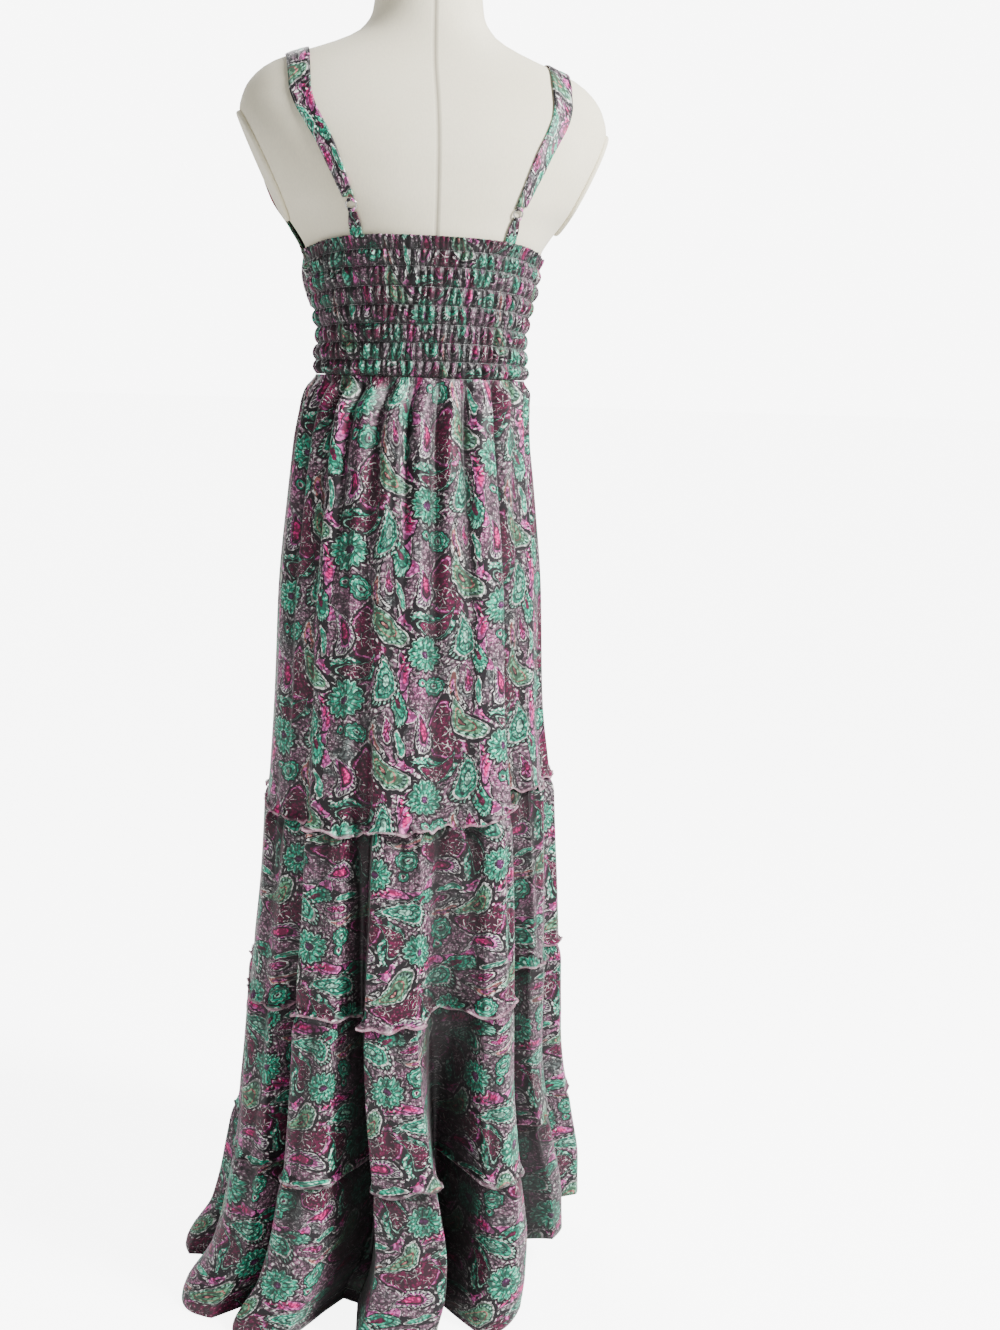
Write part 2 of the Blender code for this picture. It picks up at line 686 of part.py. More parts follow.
def strap_ring(side, metal):
    """The round ring that joins strap and tab, lying flat on the back."""
    core = Vector((side * RING_X, 0.0, RING_HEIGHT))
    back = Vector((0.0, -1.0, 0.0))
    place = skin_along(core, back)
    above = skin_along(core + Vector((0.0, 0.0, 0.006)), back)
    beside = skin_along(core + Vector((0.006, 0.0, 0.0)), back)
    away = (beside - place).cross(above - place).normalized()
    bpy.ops.mesh.primitive_torus_add(
        major_radius=RING_RADIUS,
        minor_radius=RING_WIRE,
        major_segments=16,
        minor_segments=6,
        location=place + away * (FORM_CLEARANCE + RING_WIRE),
        rotation=away.to_track_quat("Z", "Y").to_euler(),
    )
    ring = take(bpy.context.object, metal)
    ring.name = "strap_ring_right" if side > 0 else "strap_ring_left"
    return ring


def arm_plane(side):
    lean = math.radians(ARM_PLANE_LEAN)
    point = Vector((side * ARM_PLANE_POINT[0], ARM_PLANE_POINT[1], ARM_PLANE_POINT[2]))
    return point, Vector((side * math.cos(lean), 0.0, -math.sin(lean)))


def dress_form(skin_cloth, plate_cloth):
    """The limbless torso, with its arm openings cut flat, and an oval plate on each opening."""
    bm = bmesh.new()
    heights = [row["height"] for row in FORM_TABLE]
    angles = [360.0 * j / FORM_COLUMNS for j in range(FORM_COLUMNS)]
    rings = [[bm.verts.new(form_point(a, z)) for a in angles] for z in heights]
    for low, high in zip(rings, rings[1:]):
        for j in range(FORM_COLUMNS):
            after = (j + 1) % FORM_COLUMNS
            bm.faces.new((low[j], low[after], high[after], high[j]))
    bm.faces.new(rings[0][::-1])
    bm.faces.new(rings[-1])
    bmesh.ops.recalc_face_normals(bm, faces=bm.faces)
    for side in (1, -1):
        point, away = arm_plane(side)
        shoulder = [f for f in bm.faces if min(v.co.z for v in f.verts) > ARM_CUT_FROM - 0.0001]
        edges = list({e for f in shoulder for e in f.edges})
        corners = list({v for f in shoulder for v in f.verts})
        cut = bmesh.ops.bisect_plane(
            bm, geom=corners + edges + shoulder, plane_co=point, plane_no=away, clear_outer=True
        )
        edges = [e for e in cut["geom_cut"] if isinstance(e, bmesh.types.BMEdge)]
        filled = bmesh.ops.contextual_create(bm, geom=edges)["faces"]
        plate = bmesh.new()
        outline = [v.co.copy() for v in filled[0].verts]
        middle = sum(outline, Vector()) / len(outline)
        bottom = []
        for p in outline:
            bottom.append(plate.verts.new(middle + (p - middle) * ARM_PLATE_INSET + away * SEAM_GAP))
        top = [plate.verts.new(v.co + away * ARM_PLATE + (middle - v.co) * 0.04) for v in bottom]
        plate.faces.new(bottom)
        plate.faces.new(top[::-1])
        for j in range(len(outline)):
            after = (j + 1) % len(outline)
            plate.faces.new((bottom[after], bottom[j], top[j], top[after]))
        new_object("form_arm_plate_right" if side > 0 else "form_arm_plate_left", plate, plate_cloth)
    return new_object("form_torso", bm, skin_cloth, smooth_angle=40.0)


def turned(name, profile, material, steps=32):
    """A turned piece: its profile runs down the outer side, and a Screw modifier turns it."""
    mesh = bpy.data.meshes.new(name)
    mesh.from_pydata([(r, 0.0, z) for r, z in profile], [(i, i + 1) for i in range(len(profile) - 1)], [])
    mesh.materials.append(material)
    obj = bpy.data.objects.new(name, mesh)
    collection().objects.link(obj)
    screw = obj.modifiers.new("Turned", "SCREW")
    screw.steps = steps
    screw.render_steps = steps
    screw.use_merge_vertices = True
    screw.merge_threshold = 0.00001
    screw.use_smooth_shade = False
    return obj


def stand(paint, skin_cloth):
    """The pole on its round base plate, the socket that holds the torso, and the neck's cap."""
    turned(
        "form_base",
        (
            (0.0, HUB_TOP),
            (HUB_RADIUS - BASE_EDGE, HUB_TOP),
            (HUB_RADIUS, HUB_TOP - BASE_EDGE),
            (HUB_RADIUS, BASE_THICKNESS + BASE_EDGE),
            (HUB_RADIUS + BASE_EDGE, BASE_THICKNESS),
            (BASE_RADIUS - BASE_EDGE, BASE_THICKNESS),
            (BASE_RADIUS, BASE_THICKNESS - BASE_EDGE),
            (BASE_RADIUS, 0.0),
            (0.0, 0.0),
        ),
        paint,
    )
    socket_bottom = FORM_BOTTOM - SEAM_GAP - SOCKET_THICKNESS
    turned(
        "form_socket",
        (
            (0.0, FORM_BOTTOM - SEAM_GAP),
            (SOCKET_RADIUS, FORM_BOTTOM - SEAM_GAP),
            (SOCKET_RADIUS, FORM_BOTTOM - SEAM_GAP - SOCKET_THICKNESS * 0.4),
            (POLE_RADIUS * 1.6, socket_bottom),
            (0.0, socket_bottom),
        ),
        paint,
        steps=24,
    )
    pole_low, pole_high = HUB_TOP + SEAM_GAP, socket_bottom - SEAM_GAP
    bpy.ops.mesh.primitive_cylinder_add(
        vertices=20,
        radius=POLE_RADIUS,
        depth=pole_high - pole_low,
        location=(0, 0, (pole_low + pole_high) / 2),
    )
    take(bpy.context.object, paint).name = "form_pole"
    neck = FORM_TABLE[-1]
    cap_low = NECK_TOP + SEAM_GAP
    bpy.ops.mesh.primitive_cylinder_add(
        vertices=28, radius=1.0, depth=NECK_CAP, location=(0, 0, cap_low + NECK_CAP / 2)
    )
    cap = bpy.context.object
    cap.name = "form_neck_cap"
    cap.scale = (neck["half_width"] - 0.001, (neck["back"] + neck["front"]) / 2 - 0.001, 1.0)
    bpy.ops.object.transform_apply(location=False, rotation=False, scale=True)
    take(cap, skin_cloth)
    soft_edge = cap.modifiers.new("Rounded", "BEVEL")
    soft_edge.width = NECK_CAP * 0.3
    soft_edge.segments = 2


def main():
    for obj in list(bpy.data.objects):
        bpy.data.objects.remove(obj)
    print_cloth = make_material("printed_cloth", PRINT_COLOUR, 0.62)
    skin_cloth = make_material("form_cloth", FORM_CLOTH_COLOUR, 0.80)
    plate_cloth = make_material("arm_plate_cloth", PLATE_COLOUR, 0.75)
    metal = make_material("ring_metal", RING_COLOUR, 0.25, 1.0)
    paint = make_material("stand_paint", STAND_COLOUR, 0.40)
    dress_form(skin_cloth, plate_cloth)
    stand(paint, skin_cloth)
    shirred_back(print_cloth)
    midriff(print_cloth)
    for right in (True, False):
        cup(right, print_cloth)
    for side in (1, -1):
        strap(side, print_cloth)
        strap_tab(side, print_cloth)
        strap_ring(side, metal)
    for index in range(len(TIER_TABLE)):
        tier_walls(index, print_cloth)


main()
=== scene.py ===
import math

import bmesh
import bpy
import numpy as np
from mathutils import Matrix, Vector


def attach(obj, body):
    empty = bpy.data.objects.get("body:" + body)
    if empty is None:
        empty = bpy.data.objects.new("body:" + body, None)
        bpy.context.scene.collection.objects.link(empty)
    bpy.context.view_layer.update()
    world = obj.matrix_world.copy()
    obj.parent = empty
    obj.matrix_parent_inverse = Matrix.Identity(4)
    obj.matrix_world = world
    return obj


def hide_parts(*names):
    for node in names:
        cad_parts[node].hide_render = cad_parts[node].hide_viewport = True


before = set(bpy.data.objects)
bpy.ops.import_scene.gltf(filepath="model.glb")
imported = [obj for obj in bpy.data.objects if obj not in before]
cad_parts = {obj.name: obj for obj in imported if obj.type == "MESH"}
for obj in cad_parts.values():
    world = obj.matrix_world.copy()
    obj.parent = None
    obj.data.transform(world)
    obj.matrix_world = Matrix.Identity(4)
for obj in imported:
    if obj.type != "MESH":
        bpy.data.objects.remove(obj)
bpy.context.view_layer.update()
print("frame loaded, nodes:", len(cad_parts))


def addObject(name, data):
    obj = bpy.data.objects.new(name, data)
    bpy.context.scene.collection.objects.link(obj)
    return obj


def sideName(side):
    return "right" if side > 0 else "left"


# node trees

class Number:
    # a value in a node tree, so that sums with it can be written as plain formulas
    def __init__(self, tree, socket):
        self.tree = tree
        self.socket = socket

    def take(self, operation, *others):
        return calc(self.tree, operation, self, *others)

    def __add__(self, other):
        return self.take("ADD", other)

    def __sub__(self, other):
        return self.take("SUBTRACT", other)

    def __rsub__(self, other):
        return calc(self.tree, "SUBTRACT", other, self)

    def __mul__(self, other):
        return self.take("MULTIPLY", other)

    def __truediv__(self, other):
        return self.take("DIVIDE", other)

    def __lt__(self, other):
        return self.take("LESS_THAN", other)

    def __gt__(self, other):
        return self.take("GREATER_THAN", other)

    def __abs__(self):
        return self.take("ABSOLUTE")


def join(tree, source, target):
    if isinstance(source, Number):
        source = source.socket
    if isinstance(source, (int, float, tuple, str)):
        target.default_value = source
    elif source is not None:
        tree.links.new(source, target)


def addNode(tree, kind, **values):
    # small names are the node's own settings, names with a capital are its sockets
    node = tree.nodes.new(kind)
    for key, value in values.items():
        if key[0].islower():
            setattr(node, key, value)
        else:
            join(tree, value, node.inputs[key.replace("_", " ")])
    return node


def calc(tree, operation, *values):
    node = addNode(tree, "ShaderNodeMath", operation=operation)
    for value, socket in zip(values, node.inputs):
        join(tree, value, socket)
    return Number(tree, node.outputs[0])


def parts(tree, vector):
    # its x and y
    split = addNode(tree, "ShaderNodeSeparateXYZ", Vector=vector)
    return [Number(tree, socket) for socket in split.outputs[:2]]


def noise(tree, place, scale, detail=2.0):
    node = addNode(tree, "ShaderNodeTexNoise", Vector=place, Scale=scale, Detail=detail)
    return Number(tree, node.outputs[0])


def attribute(tree, name):
    return Number(tree, addNode(tree, "ShaderNodeAttribute", attribute_name=name).outputs["Fac"])


def objectPlace(tree):
    return tree.nodes.new("ShaderNodeTexCoord").outputs["Object"]


def fromScreen(red, green, blue):
    values = [c / 255.0 for c in (red, green, blue)]
    return tuple(c / 12.92 if c <= 0.04045 else ((c + 0.055) / 1.055) ** 2.4 for c in values) + (1.0,)


def blendColours(tree, share, below, above, mode="MIX"):
    node = addNode(tree, "ShaderNodeMix", data_type="RGBA", blend_type=mode)
    for number, source in ((0, share), (6, below), (7, above)):
        join(tree, source, node.inputs[number])
    return node.outputs[2]


def ramp(tree, value, stops, crisp=False):
    node = tree.nodes.new("ShaderNodeValToRGB")
    node.color_ramp.interpolation = "CONSTANT" if crisp else "LINEAR"
    while len(node.color_ramp.elements) < len(stops):
        node.color_ramp.elements.new(0.5)
    for element, (place, colour) in zip(node.color_ramp.elements, stops):
        element.position = place
        element.color = colour if isinstance(colour, tuple) else (colour, colour, colour, 1.0)
    join(tree, value, node.inputs[0])
    return node.outputs[0]


def newGroup(name, inputs, outputs):
    # inputs: name and value, None for a vector; outputs: name and kind
    group = bpy.data.node_groups.new(name, "ShaderNodeTree")
    for title, value in inputs.items():
        kind = "NodeSocketVector" if value is None else "NodeSocketFloat"
        socket = group.interface.new_socket(name=title, in_out="INPUT", socket_type=kind)
        if value is not None:
            socket.default_value = value
    for title, kind in outputs.items():
        group.interface.new_socket(name=title, in_out="OUTPUT", socket_type="NodeSocket" + kind)
    given = {socket.name: Number(group, socket) for socket in group.nodes.new("NodeGroupInput").outputs}
    return group, given, group.nodes.new("NodeGroupOutput").inputs


def useGroup(tree, group, **values):
    node = addNode(tree, "ShaderNodeGroup", node_tree=group, **values)
    return {socket.name: Number(tree, socket) for socket in node.outputs}


def newMaterial(name, **finish):
    material = bpy.data.materials.new(name)
    material.use_nodes = True
    shader = material.node_tree.nodes["Principled BSDF"]
    for key, value in finish.items():
        shader.inputs[key.replace("_", " ")].default_value = value
    return material, material.node_tree, shader


def bumpOn(tree, shader, height, strength, distance, normal=None):
    node = addNode(tree, "ShaderNodeBump", Strength=strength, Distance=distance, Height=height, Normal=normal)
    if shader is not None:
        tree.links.new(node.outputs[0], shader.inputs["Normal"])
    return node.outputs[0]


# camera, floor and lights

camera = {
    "focalLength": 37.9,  # mm on 36 mm for the long side
    "turn": -11.0,
    "distance": 1.6,
    "height": 1.085,
    "aside": 0.1,
    "downwards": 11.5,
    "roll": 2.0,
}


def placeCamera():
    turn = math.radians(camera["turn"])
    down = math.radians(camera["downwards"])
    roll = math.radians(camera["roll"])
    right = Vector((math.cos(turn), math.sin(turn), 0.0))
    ahead = Vector((-math.sin(turn), math.cos(turn), 0.0))
    place = -ahead * camera["distance"] + Vector((0, 0, camera["height"])) + right * camera["aside"]
    forward = ahead * math.cos(down) + Vector((0, 0, -math.sin(down)))
    up = ahead * math.sin(down) + Vector((0, 0, math.cos(down)))
    across = right * math.cos(roll) + up * math.sin(roll)
    up = up * math.cos(roll) - right * math.sin(roll)
    rows = [(across[i], up[i], -forward[i], place[i]) for i in range(3)]
    lens = bpy.data.cameras.new("photoCamera")
    lens.sensor_width = 36.0
    lens.lens = camera["focalLength"]
    lens.clip_end = 200.0
    holder = addObject("photoCamera", lens)
    holder.matrix_world = Matrix(rows + [(0, 0, 0, 1)])
    bpy.context.scene.camera = holder


lighting = {
    "white": (1.0, 1.0, 1.0, 1.0),
    "floorColour": (0.88, 0.88, 0.88, 1.0),
    "skyStrength": 0.20,
    "roomSeen": 8.0,  # how bright the empty room behind looks
    "floorGlow": 6.5,  # added to the floor for the camera alone, so that it meets the room
    # name, where the light comes from, strength, softness in degrees, colour
    "suns": [
        ("keySun", (0.90, -0.66, 0.92), 2.7, 9.0, (1.0, 0.985, 0.96)),
        ("fillSun", (-0.80, -0.85, 0.30), 0.30, 60.0, (0.96, 0.98, 1.0)),
        ("backSun", (-0.30, 1.0, 0.75), 2.6, 40.0, (1.0, 1.0, 1.0)),
    ],
    "nearLamp": {"place": (1.40, -0.95, 2.10), "looksAt": (0.0, 0.0, 1.20), "size": 0.5, "watts": 95.0},
}


def cameraRay(tree):
    return Number(tree, tree.nodes.new("ShaderNodeLightPath").outputs["Is Camera Ray"])


def lightRoom():
    world = bpy.data.worlds.new("paleRoom")
    bpy.context.scene.world = world
    world.use_nodes = True
    tree = world.node_tree
    sky = tree.nodes["Background"]
    join(tree, lighting["white"], sky.inputs["Color"])
    join(tree, lighting["skyStrength"], sky.inputs["Strength"])
    seen = addNode(tree, "ShaderNodeBackground", Color=lighting["white"], Strength=lighting["roomSeen"])
    either = tree.nodes.new("ShaderNodeMixShader")
    for source, socket in zip((cameraRay(tree), sky.outputs[0], seen.outputs[0]), either.inputs):
        join(tree, source, socket)
    join(tree, either.outputs[0], tree.nodes["World Output"].inputs[0])
    for name, source, strength, softness, colour in lighting["suns"]:
        lamp = bpy.data.lights.new(name, "SUN")
        lamp.energy = strength
        lamp.angle = math.radians(softness)
        lamp.color = colour
        holder = addObject(name, lamp)
        holder.location = source
        holder.rotation_euler = Vector(source).to_track_quat("Z", "Y").to_euler()


def hangNearLamp():
    size = lighting["nearLamp"]
    lamp = bpy.data.lights.new("nearLamp", "AREA")
    lamp.shape = "DISK"
    lamp.size = size["size"]
    lamp.energy = size["watts"]
    holder = addObject("nearLamp", lamp)
    holder.location = size["place"]
    towards = Vector(size["looksAt"]) - Vector(size["place"])
    holder.rotation_euler = towards.to_track_quat("-Z", "Y").to_euler()


def layFloor():
    mesh = bpy.data.meshes.new("studioFloor")
    reach = 60.0
    corners = [(-reach, -reach, 0), (reach, -reach, 0), (reach, reach, 0), (-reach, reach, 0)]
    mesh.from_pydata(corners, [], [(0, 1, 2, 3)])
    paper, tree, shader = newMaterial(
        "floorPaper", Base_Color=lighting["floorColour"], Roughness=1.0, Specular_IOR_Level=0.0,
        Emission_Color=lighting["white"],
    )
    join(tree, cameraRay(tree) * lighting["floorGlow"], shader.inputs["Emission Strength"])
    mesh.materials.append(paper)
    addObject("studioFloor", mesh)


placeCamera()
lightRoom()
hangNearLamp()
layFloor()
print("camera, lights and floor placed")


# the printed cloth: one repeat of flowers, drops and darts, charted on a slanting lattice

inks = {
    "ground": fromScreen(176, 128, 154),
    "groundGreen": fromScreen(122, 134, 132),
    "groundPink": fromScreen(216, 116, 176),
    "line": fromScreen(24, 18, 24),
    "ivory": fromScreen(252, 250, 246),
    "teal": fromScreen(30, 188, 150),
    "deepTeal": fromScreen(8, 76, 68),
    "mint": fromScreen(172, 244, 216),
    "leaf": fromScreen(104, 172, 130),
    "burgundy": fromScreen(108, 4, 62),
    "plum": fromScreen(100, 40, 96),
    "hotPink": fromScreen(244, 26, 142),
    "palePink": fromScreen(230, 104, 186),
    "peach": fromScreen(206, 128, 122),
    "shade": fromScreen(18, 14, 16),
    "lipThreadAndHighlight": fromScreen(234, 176, 196),
}

printRepeat = {
    "across": 0.088,
    "down": 0.158,
    "slant": 0.053,  # how much higher the next column to the right stands
}

# each motif: kind, across, up, turn, half width, half length, taper, bend
printMotifs = [
    ("strip", 0.0500, -0.0340, 3, 0.0062, 0.0740, 0.0, 0.06),
    ("patch", 0.0500, 0.0140, 0, 0.0100, 0.0120, 0.5, 0.0),
    ("patch", 0.0560, -0.0880, 20, 0.0085, 0.0095, 0.3, 0.0),
    ("patch", -0.0230, -0.0350, -20, 0.0060, 0.0110, 0.0, 0.2),
    ("tealArch", 0.0060, -0.0400, -64, 0.0150, 0.0360, 0.55, 0.60),
    ("tealArch", 0.0440, -0.0760, 20, 0.0090, 0.0240, 0.25, 0.30),
    ("spear", 0.0540, -0.0420, -12, 0.0052, 0.0230, 0.3, 0.05),
    ("spear", 0.0515, -0.0050, 4, 0.0042, 0.0170, 0.5, 0.0),
    ("stripe", 0.0470, -0.1180, 8, 0.0046, 0.0200, 0.1, 0.12),
    ("dart", 0.0330, -0.1040, 6, 0.0052, 0.0165, 0.55, 0.0),
    ("smallFlower", -0.0170, -0.1080, 0, 0.0066, 0.0066, 0.0, 0.0),
    ("smallFlower", 0.0180, 0.0350, 0, 0.0058, 0.0058, 0.0, 0.0),
    ("hook", 0.0170, -0.1130, 8, 0.0066, 0.0280, 0.55, -0.45),
    ("ringFlower", -0.0010, -0.1110, 0, 0.0128, 0.0135, 0.0, 0.0),
    ("burgundyLeaf", 0.0070, -0.0020, 10, 0.0200, 0.0370, 0.60, -0.28),
    ("plumDrop", -0.0140, -0.0010, 10, 0.0100, 0.0270, 0.78, 0.42),
    ("greenDrop", 0.0270, 0.0070, 38, 0.0118, 0.0320, 0.78, -0.42),
    ("veinedLeaf", 0.0020, -0.0460, -66, 0.0092, 0.0260, 0.70, 0.55),
    ("tealOval", 0.0320, -0.0550, -10, 0.0118, 0.0280, 0.50, 0.28),
    ("flower", -0.0150, -0.0745, 0, 0.0220, 0.0220, 0.0, 0.0),
]

# bands of ink, and where each begins on the way from a motif's middle to its edge
printBands = {
    "strip": [("hotPink", 0), ("palePink", 0.30), ("ivory", 0.78), ("line", 0.86)],
    "patch": [("hotPink", 0), ("palePink", 0.16), ("ivory", 0.88), ("line", 0.94)],
    "spear": [("hotPink", 0), ("palePink", 0.52), ("line", 0.84)],
    "dart": [("hotPink", 0), ("burgundy", 0.20), ("ivory", 0.80), ("line", 0.90)],
    "tealArch": [("burgundy", 0), ("teal", 0.30), ("deepTeal", 0.55), ("teal", 0.62), ("line", 0.86)],
    "hook": [
        ("palePink", 0), ("peach", 0.30), ("ivory", 0.55), ("line", 0.68), ("ivory", 0.78), ("line", 0.90),
    ],
    "stripe": [("mint", 0), ("teal", 0.30), ("ivory", 0.70), ("line", 0.84)],
    "smallFlower": [("burgundy", 0), ("ivory", 0.30), ("teal", 0.42), ("line", 0.80)],
    "ringFlower": [
        ("burgundy", 0), ("mint", 0.13), ("deepTeal", 0.28),
        ("teal", 0.40), ("mint", 0.62), ("deepTeal", 0.70),
        ("teal", 0.78), ("line", 0.90),
    ],
    "burgundyLeaf": [("burgundy", 0), ("palePink", 0.78), ("burgundy", 0.84), ("line", 0.90)],
    "plumDrop": [
        ("hotPink", 0), ("burgundy", 0.34), ("line", 0.46),
        ("palePink", 0.54), ("plum", 0.64), ("ivory", 0.84),
        ("line", 0.90),
    ],
    "greenDrop": [
        ("peach", 0), ("line", 0.12), ("leaf", 0.19), ("peach", 0.44), ("leaf", 0.50), ("mint", 0.66),
        ("leaf", 0.74), ("ivory", 0.80), ("line", 0.87),
    ],
    "veinedLeaf": [("burgundy", 0), ("line", 0.78), ("mint", 0.84), ("line", 0.90)],
    "tealOval": [
        ("mint", 0), ("deepTeal", 0.26), ("teal", 0.34), ("deepTeal", 0.56), ("teal", 0.64), ("ivory", 0.78),
        ("line", 0.85),
    ],
    "flower": [("plum", 0), ("line", 0.18), ("mint", 0.23), ("teal", 0.29), ("mint", 0.84), ("line", 0.90)],
}
# rows of beads: how many, where the row begins and ends, ink
printBeads = {
    "flower": [(13.0, 0.50, 0.70, "mint")],
    "tealOval": [(16.0, 0.38, 0.56, "mint"), (26.0, 0.86, 0.99, "mint")],
    "plumDrop": [(24.0, 0.63, 0.83, "ivory")],
    "greenDrop": [(20.0, 0.66, 0.76, "deepTeal")],
    "tealArch": [(20.0, 0.62, 0.92, "mint")],
    "dart": [(10.0, 0.30, 0.74, "palePink")],
    "hook": [(18.0, 0.79, 0.90, "line")],
}
beadedOutside = ("burgundyLeaf", "tealOval", "greenDrop", "flower", "plumDrop")
outerBeads = [(15.0, 1.22, 1.31, "line"), (26.0, 1.07, 1.17, "ivory")]
outlineTo = 1.045
# number of petals, depth of the gaps between them
printPetals = {"flower": (13.0, 0.20), "ringFlower": (12.0, 0.12), "smallFlower": (8.0, 0.12)}
flowerRays = {"from": 0.26, "width": 0.11}
# ivory twigs: where they end in the motif, stars to a metre, thickness
printTwigs = {"burgundyLeaf": (0.79, 78.0, 0.075), "veinedLeaf": (0.77, 110.0, 0.080)}
twigArms = 5
twigReach = 0.56
# how the drawn lines stray from straight ones: waves to a metre, reach
printWander = [(20.0, 0.014), (80.0, 0.0060), (260.0, 0.0022)]
printFilling = {  # marks to a metre
    "tints": 24.0,
    "lines": 150.0,
    "dots": 410.0,
    "dotEvenness": 0.5,
    "stipple": 310.0,
}


def makePlaceGroup():
    # where a point lies as seen from the nearest copy of a motif
    inputs = {"Cloth": None, "Across": 0.0, "Up": 0.0, "Turn": 0.0}
    group, given, result = newGroup("motifPlace", inputs, {"Local": "Vector"})
    x, y = parts(group, given["Cloth"])
    x = x - given["Across"]
    column = (x / printRepeat["across"]).take("ROUND")
    x = x - column * printRepeat["across"]
    y = y - given["Up"] - column * printRepeat["slant"]
    y = y - (y / printRepeat["down"]).take("ROUND") * printRepeat["down"]
    point = addNode(group, "ShaderNodeCombineXYZ", X=x, Y=y).outputs[0]
    back = given["Turn"] * -1.0
    turned = addNode(group, "ShaderNodeVectorRotate", rotation_type="Z_AXIS", Vector=point, Angle=back)
    join(group, turned.outputs[0], result["Local"])
    return group


def makeDropGroup():
    # Field is 0 in a drop's middle and 1 on its edge
    inputs = {"Local": None, "HalfWidth": 0.01, "HalfLength": 0.02, "Taper": 0.4, "Bend": 0.0}
    group, given, result = newGroup("dropShape", inputs, {"Field": "Float", "Around": "Float"})
    x, y = parts(group, given["Local"])
    along = y / given["HalfLength"]
    side = x + along * along * (given["Bend"] * given["HalfLength"])
    taper = along.take("MINIMUM", 1.0).take("MAXIMUM", -1.0) * given["Taper"]
    across = side / (given["HalfWidth"] * (1.0 - taper))
    join(group, (across * across + along * along).take("SQRT"), result["Field"])
    join(group, along.take("ARCTAN2", across), result["Around"])
    return group


def makePetalGroup():
    inputs = {"Local": None, "Radius": 0.02, "Petals": 9.0, "Depth": 0.12}
    group, given, result = newGroup("petalShape", inputs, {"Field": "Float", "Around": "Float"})
    x, y = parts(group, given["Local"])
    length = addNode(group, "ShaderNodeVectorMath", operation="LENGTH", Vector=given["Local"])
    around = y.take("ARCTAN2", x)
    lobes = abs((around * (given["Petals"] * 0.5)).take("COSINE"))
    edge = 1.0 - given["Depth"] + lobes * given["Depth"]
    field = Number(group, length.outputs["Value"]) / (given["Radius"] * edge)
    join(group, field, result["Field"])
    join(group, around, result["Around"])
    return group


def makeWeaveGroup():
    # fine over-and-under threads with slubs
    inputs = {"Cloth": None, "Threads": 2600.0}
    group, given, result = newGroup("fineWeave", inputs, {"Height": "Float", "Shade": "Float"})
    across, down = [(place * given["Threads"]).take("SINE") for place in parts(group, given["Cloth"])]
    slubs = noise(group, given["Cloth"], 190.0, 3.0)
    join(group, across * down * 0.5 + slubs, result["Height"])
    join(group, slubs, result["Shade"])
    return group


placeGroup = makePlaceGroup()
dropGroup = makeDropGroup()
petalGroup = makePetalGroup()
weaveGroup = makeWeaveGroup()


def wanderingCloth(tree, cloth):
    # the drawing is free: no line of it is quite straight or even
    for scale, reach in printWander:
        drift = addNode(tree, "ShaderNodeTexNoise", Vector=cloth, Scale=scale, Detail=1.0).outputs["Color"]
        moved = addNode(tree, "ShaderNodeVectorMath", operation="MULTIPLY_ADD", Vector=drift)
        join(tree, (reach, reach, 0.0), moved.inputs[1])
        join(tree, cloth, moved.inputs[2])
        cloth = moved.outputs[0]
    return cloth


def cells(tree, cloth, scale, feature="F1", randomness=0.9):
    look = {"feature": feature, "Scale": scale, "Randomness": randomness}
    return addNode(tree, "ShaderNodeTexVoronoi", Vector=cloth, **look).outputs["Distance"]


def groundInk(tree, cloth):
    # tiny ivory dots and dark hairlines on grey mauve, as filling between the motifs
    size = printFilling
    tints = [("groundGreen", 0.34), ("ground", 0.46), ("ground", 0.54), ("groundPink", 0.66)]
    colour = ramp(tree, noise(tree, cloth, size["tints"]), [(place, inks[name]) for name, place in tints])
    lines = cells(tree, cloth, size["lines"], "DISTANCE_TO_EDGE", 1.0)
    lines = ramp(tree, lines, [(0.0, 0.6), (0.03, 0.5), (0.06, 0.0)])
    colour = blendColours(tree, lines, colour, inks["line"])
    dots = cells(tree, cloth, size["dots"], "F1", size["dotEvenness"])
    colour = blendColours(tree, ramp(tree, dots, [(0.38, 0.0), (0.54, 0.44)]), colour, inks["line"])
    return blendColours(tree, ramp(tree, dots, [(0.20, 0.9), (0.30, 0.0)]), colour, inks["ivory"])


def addStipple(tree, cloth, colour):
    # small marks all over the motifs: a pale middle and a dark gap round each
    marks = cells(tree, cloth, printFilling["stipple"])
    colour = blendColours(tree, ramp(tree, marks, [(0.08, 0.40), (0.20, 0.0)]), colour, inks["ivory"])
    return blendColours(tree, ramp(tree, marks, [(0.42, 0.0), (0.56, 0.78)]), colour, inks["line"])


def addTwigs(tree, cloth, colour, mask, scale, thickness):
    # small ivory stars of thin arms, like coral twigs
    stars = addNode(tree, "ShaderNodeTexVoronoi", Vector=cloth, Scale=scale)
    local = addNode(tree, "ShaderNodeVectorMath", operation="SUBTRACT", Vector=cloth)
    join(tree, stars.outputs["Position"], local.inputs[1])
    x, y = parts(tree, local.outputs[0])
    distance = Number(tree, stars.outputs["Distance"])
    arms = abs((y.take("ARCTAN2", x) * (twigArms / 2)).take("SINE"))
    drawn = (arms * distance < thickness) * (distance < twigReach) * mask
    return blendColours(tree, drawn, colour, inks["ivory"])


def addBeads(tree, colour, shape, count, low, high, ink):
    # a row of round beads between two bands
    radial = (shape["Field"] - (low + high) / 2) / ((high - low) / 2)
    bead = (shape["Around"] * count).take("SINE") - radial * radial
    return blendColours(tree, bead > 0.0, colour, inks[ink])


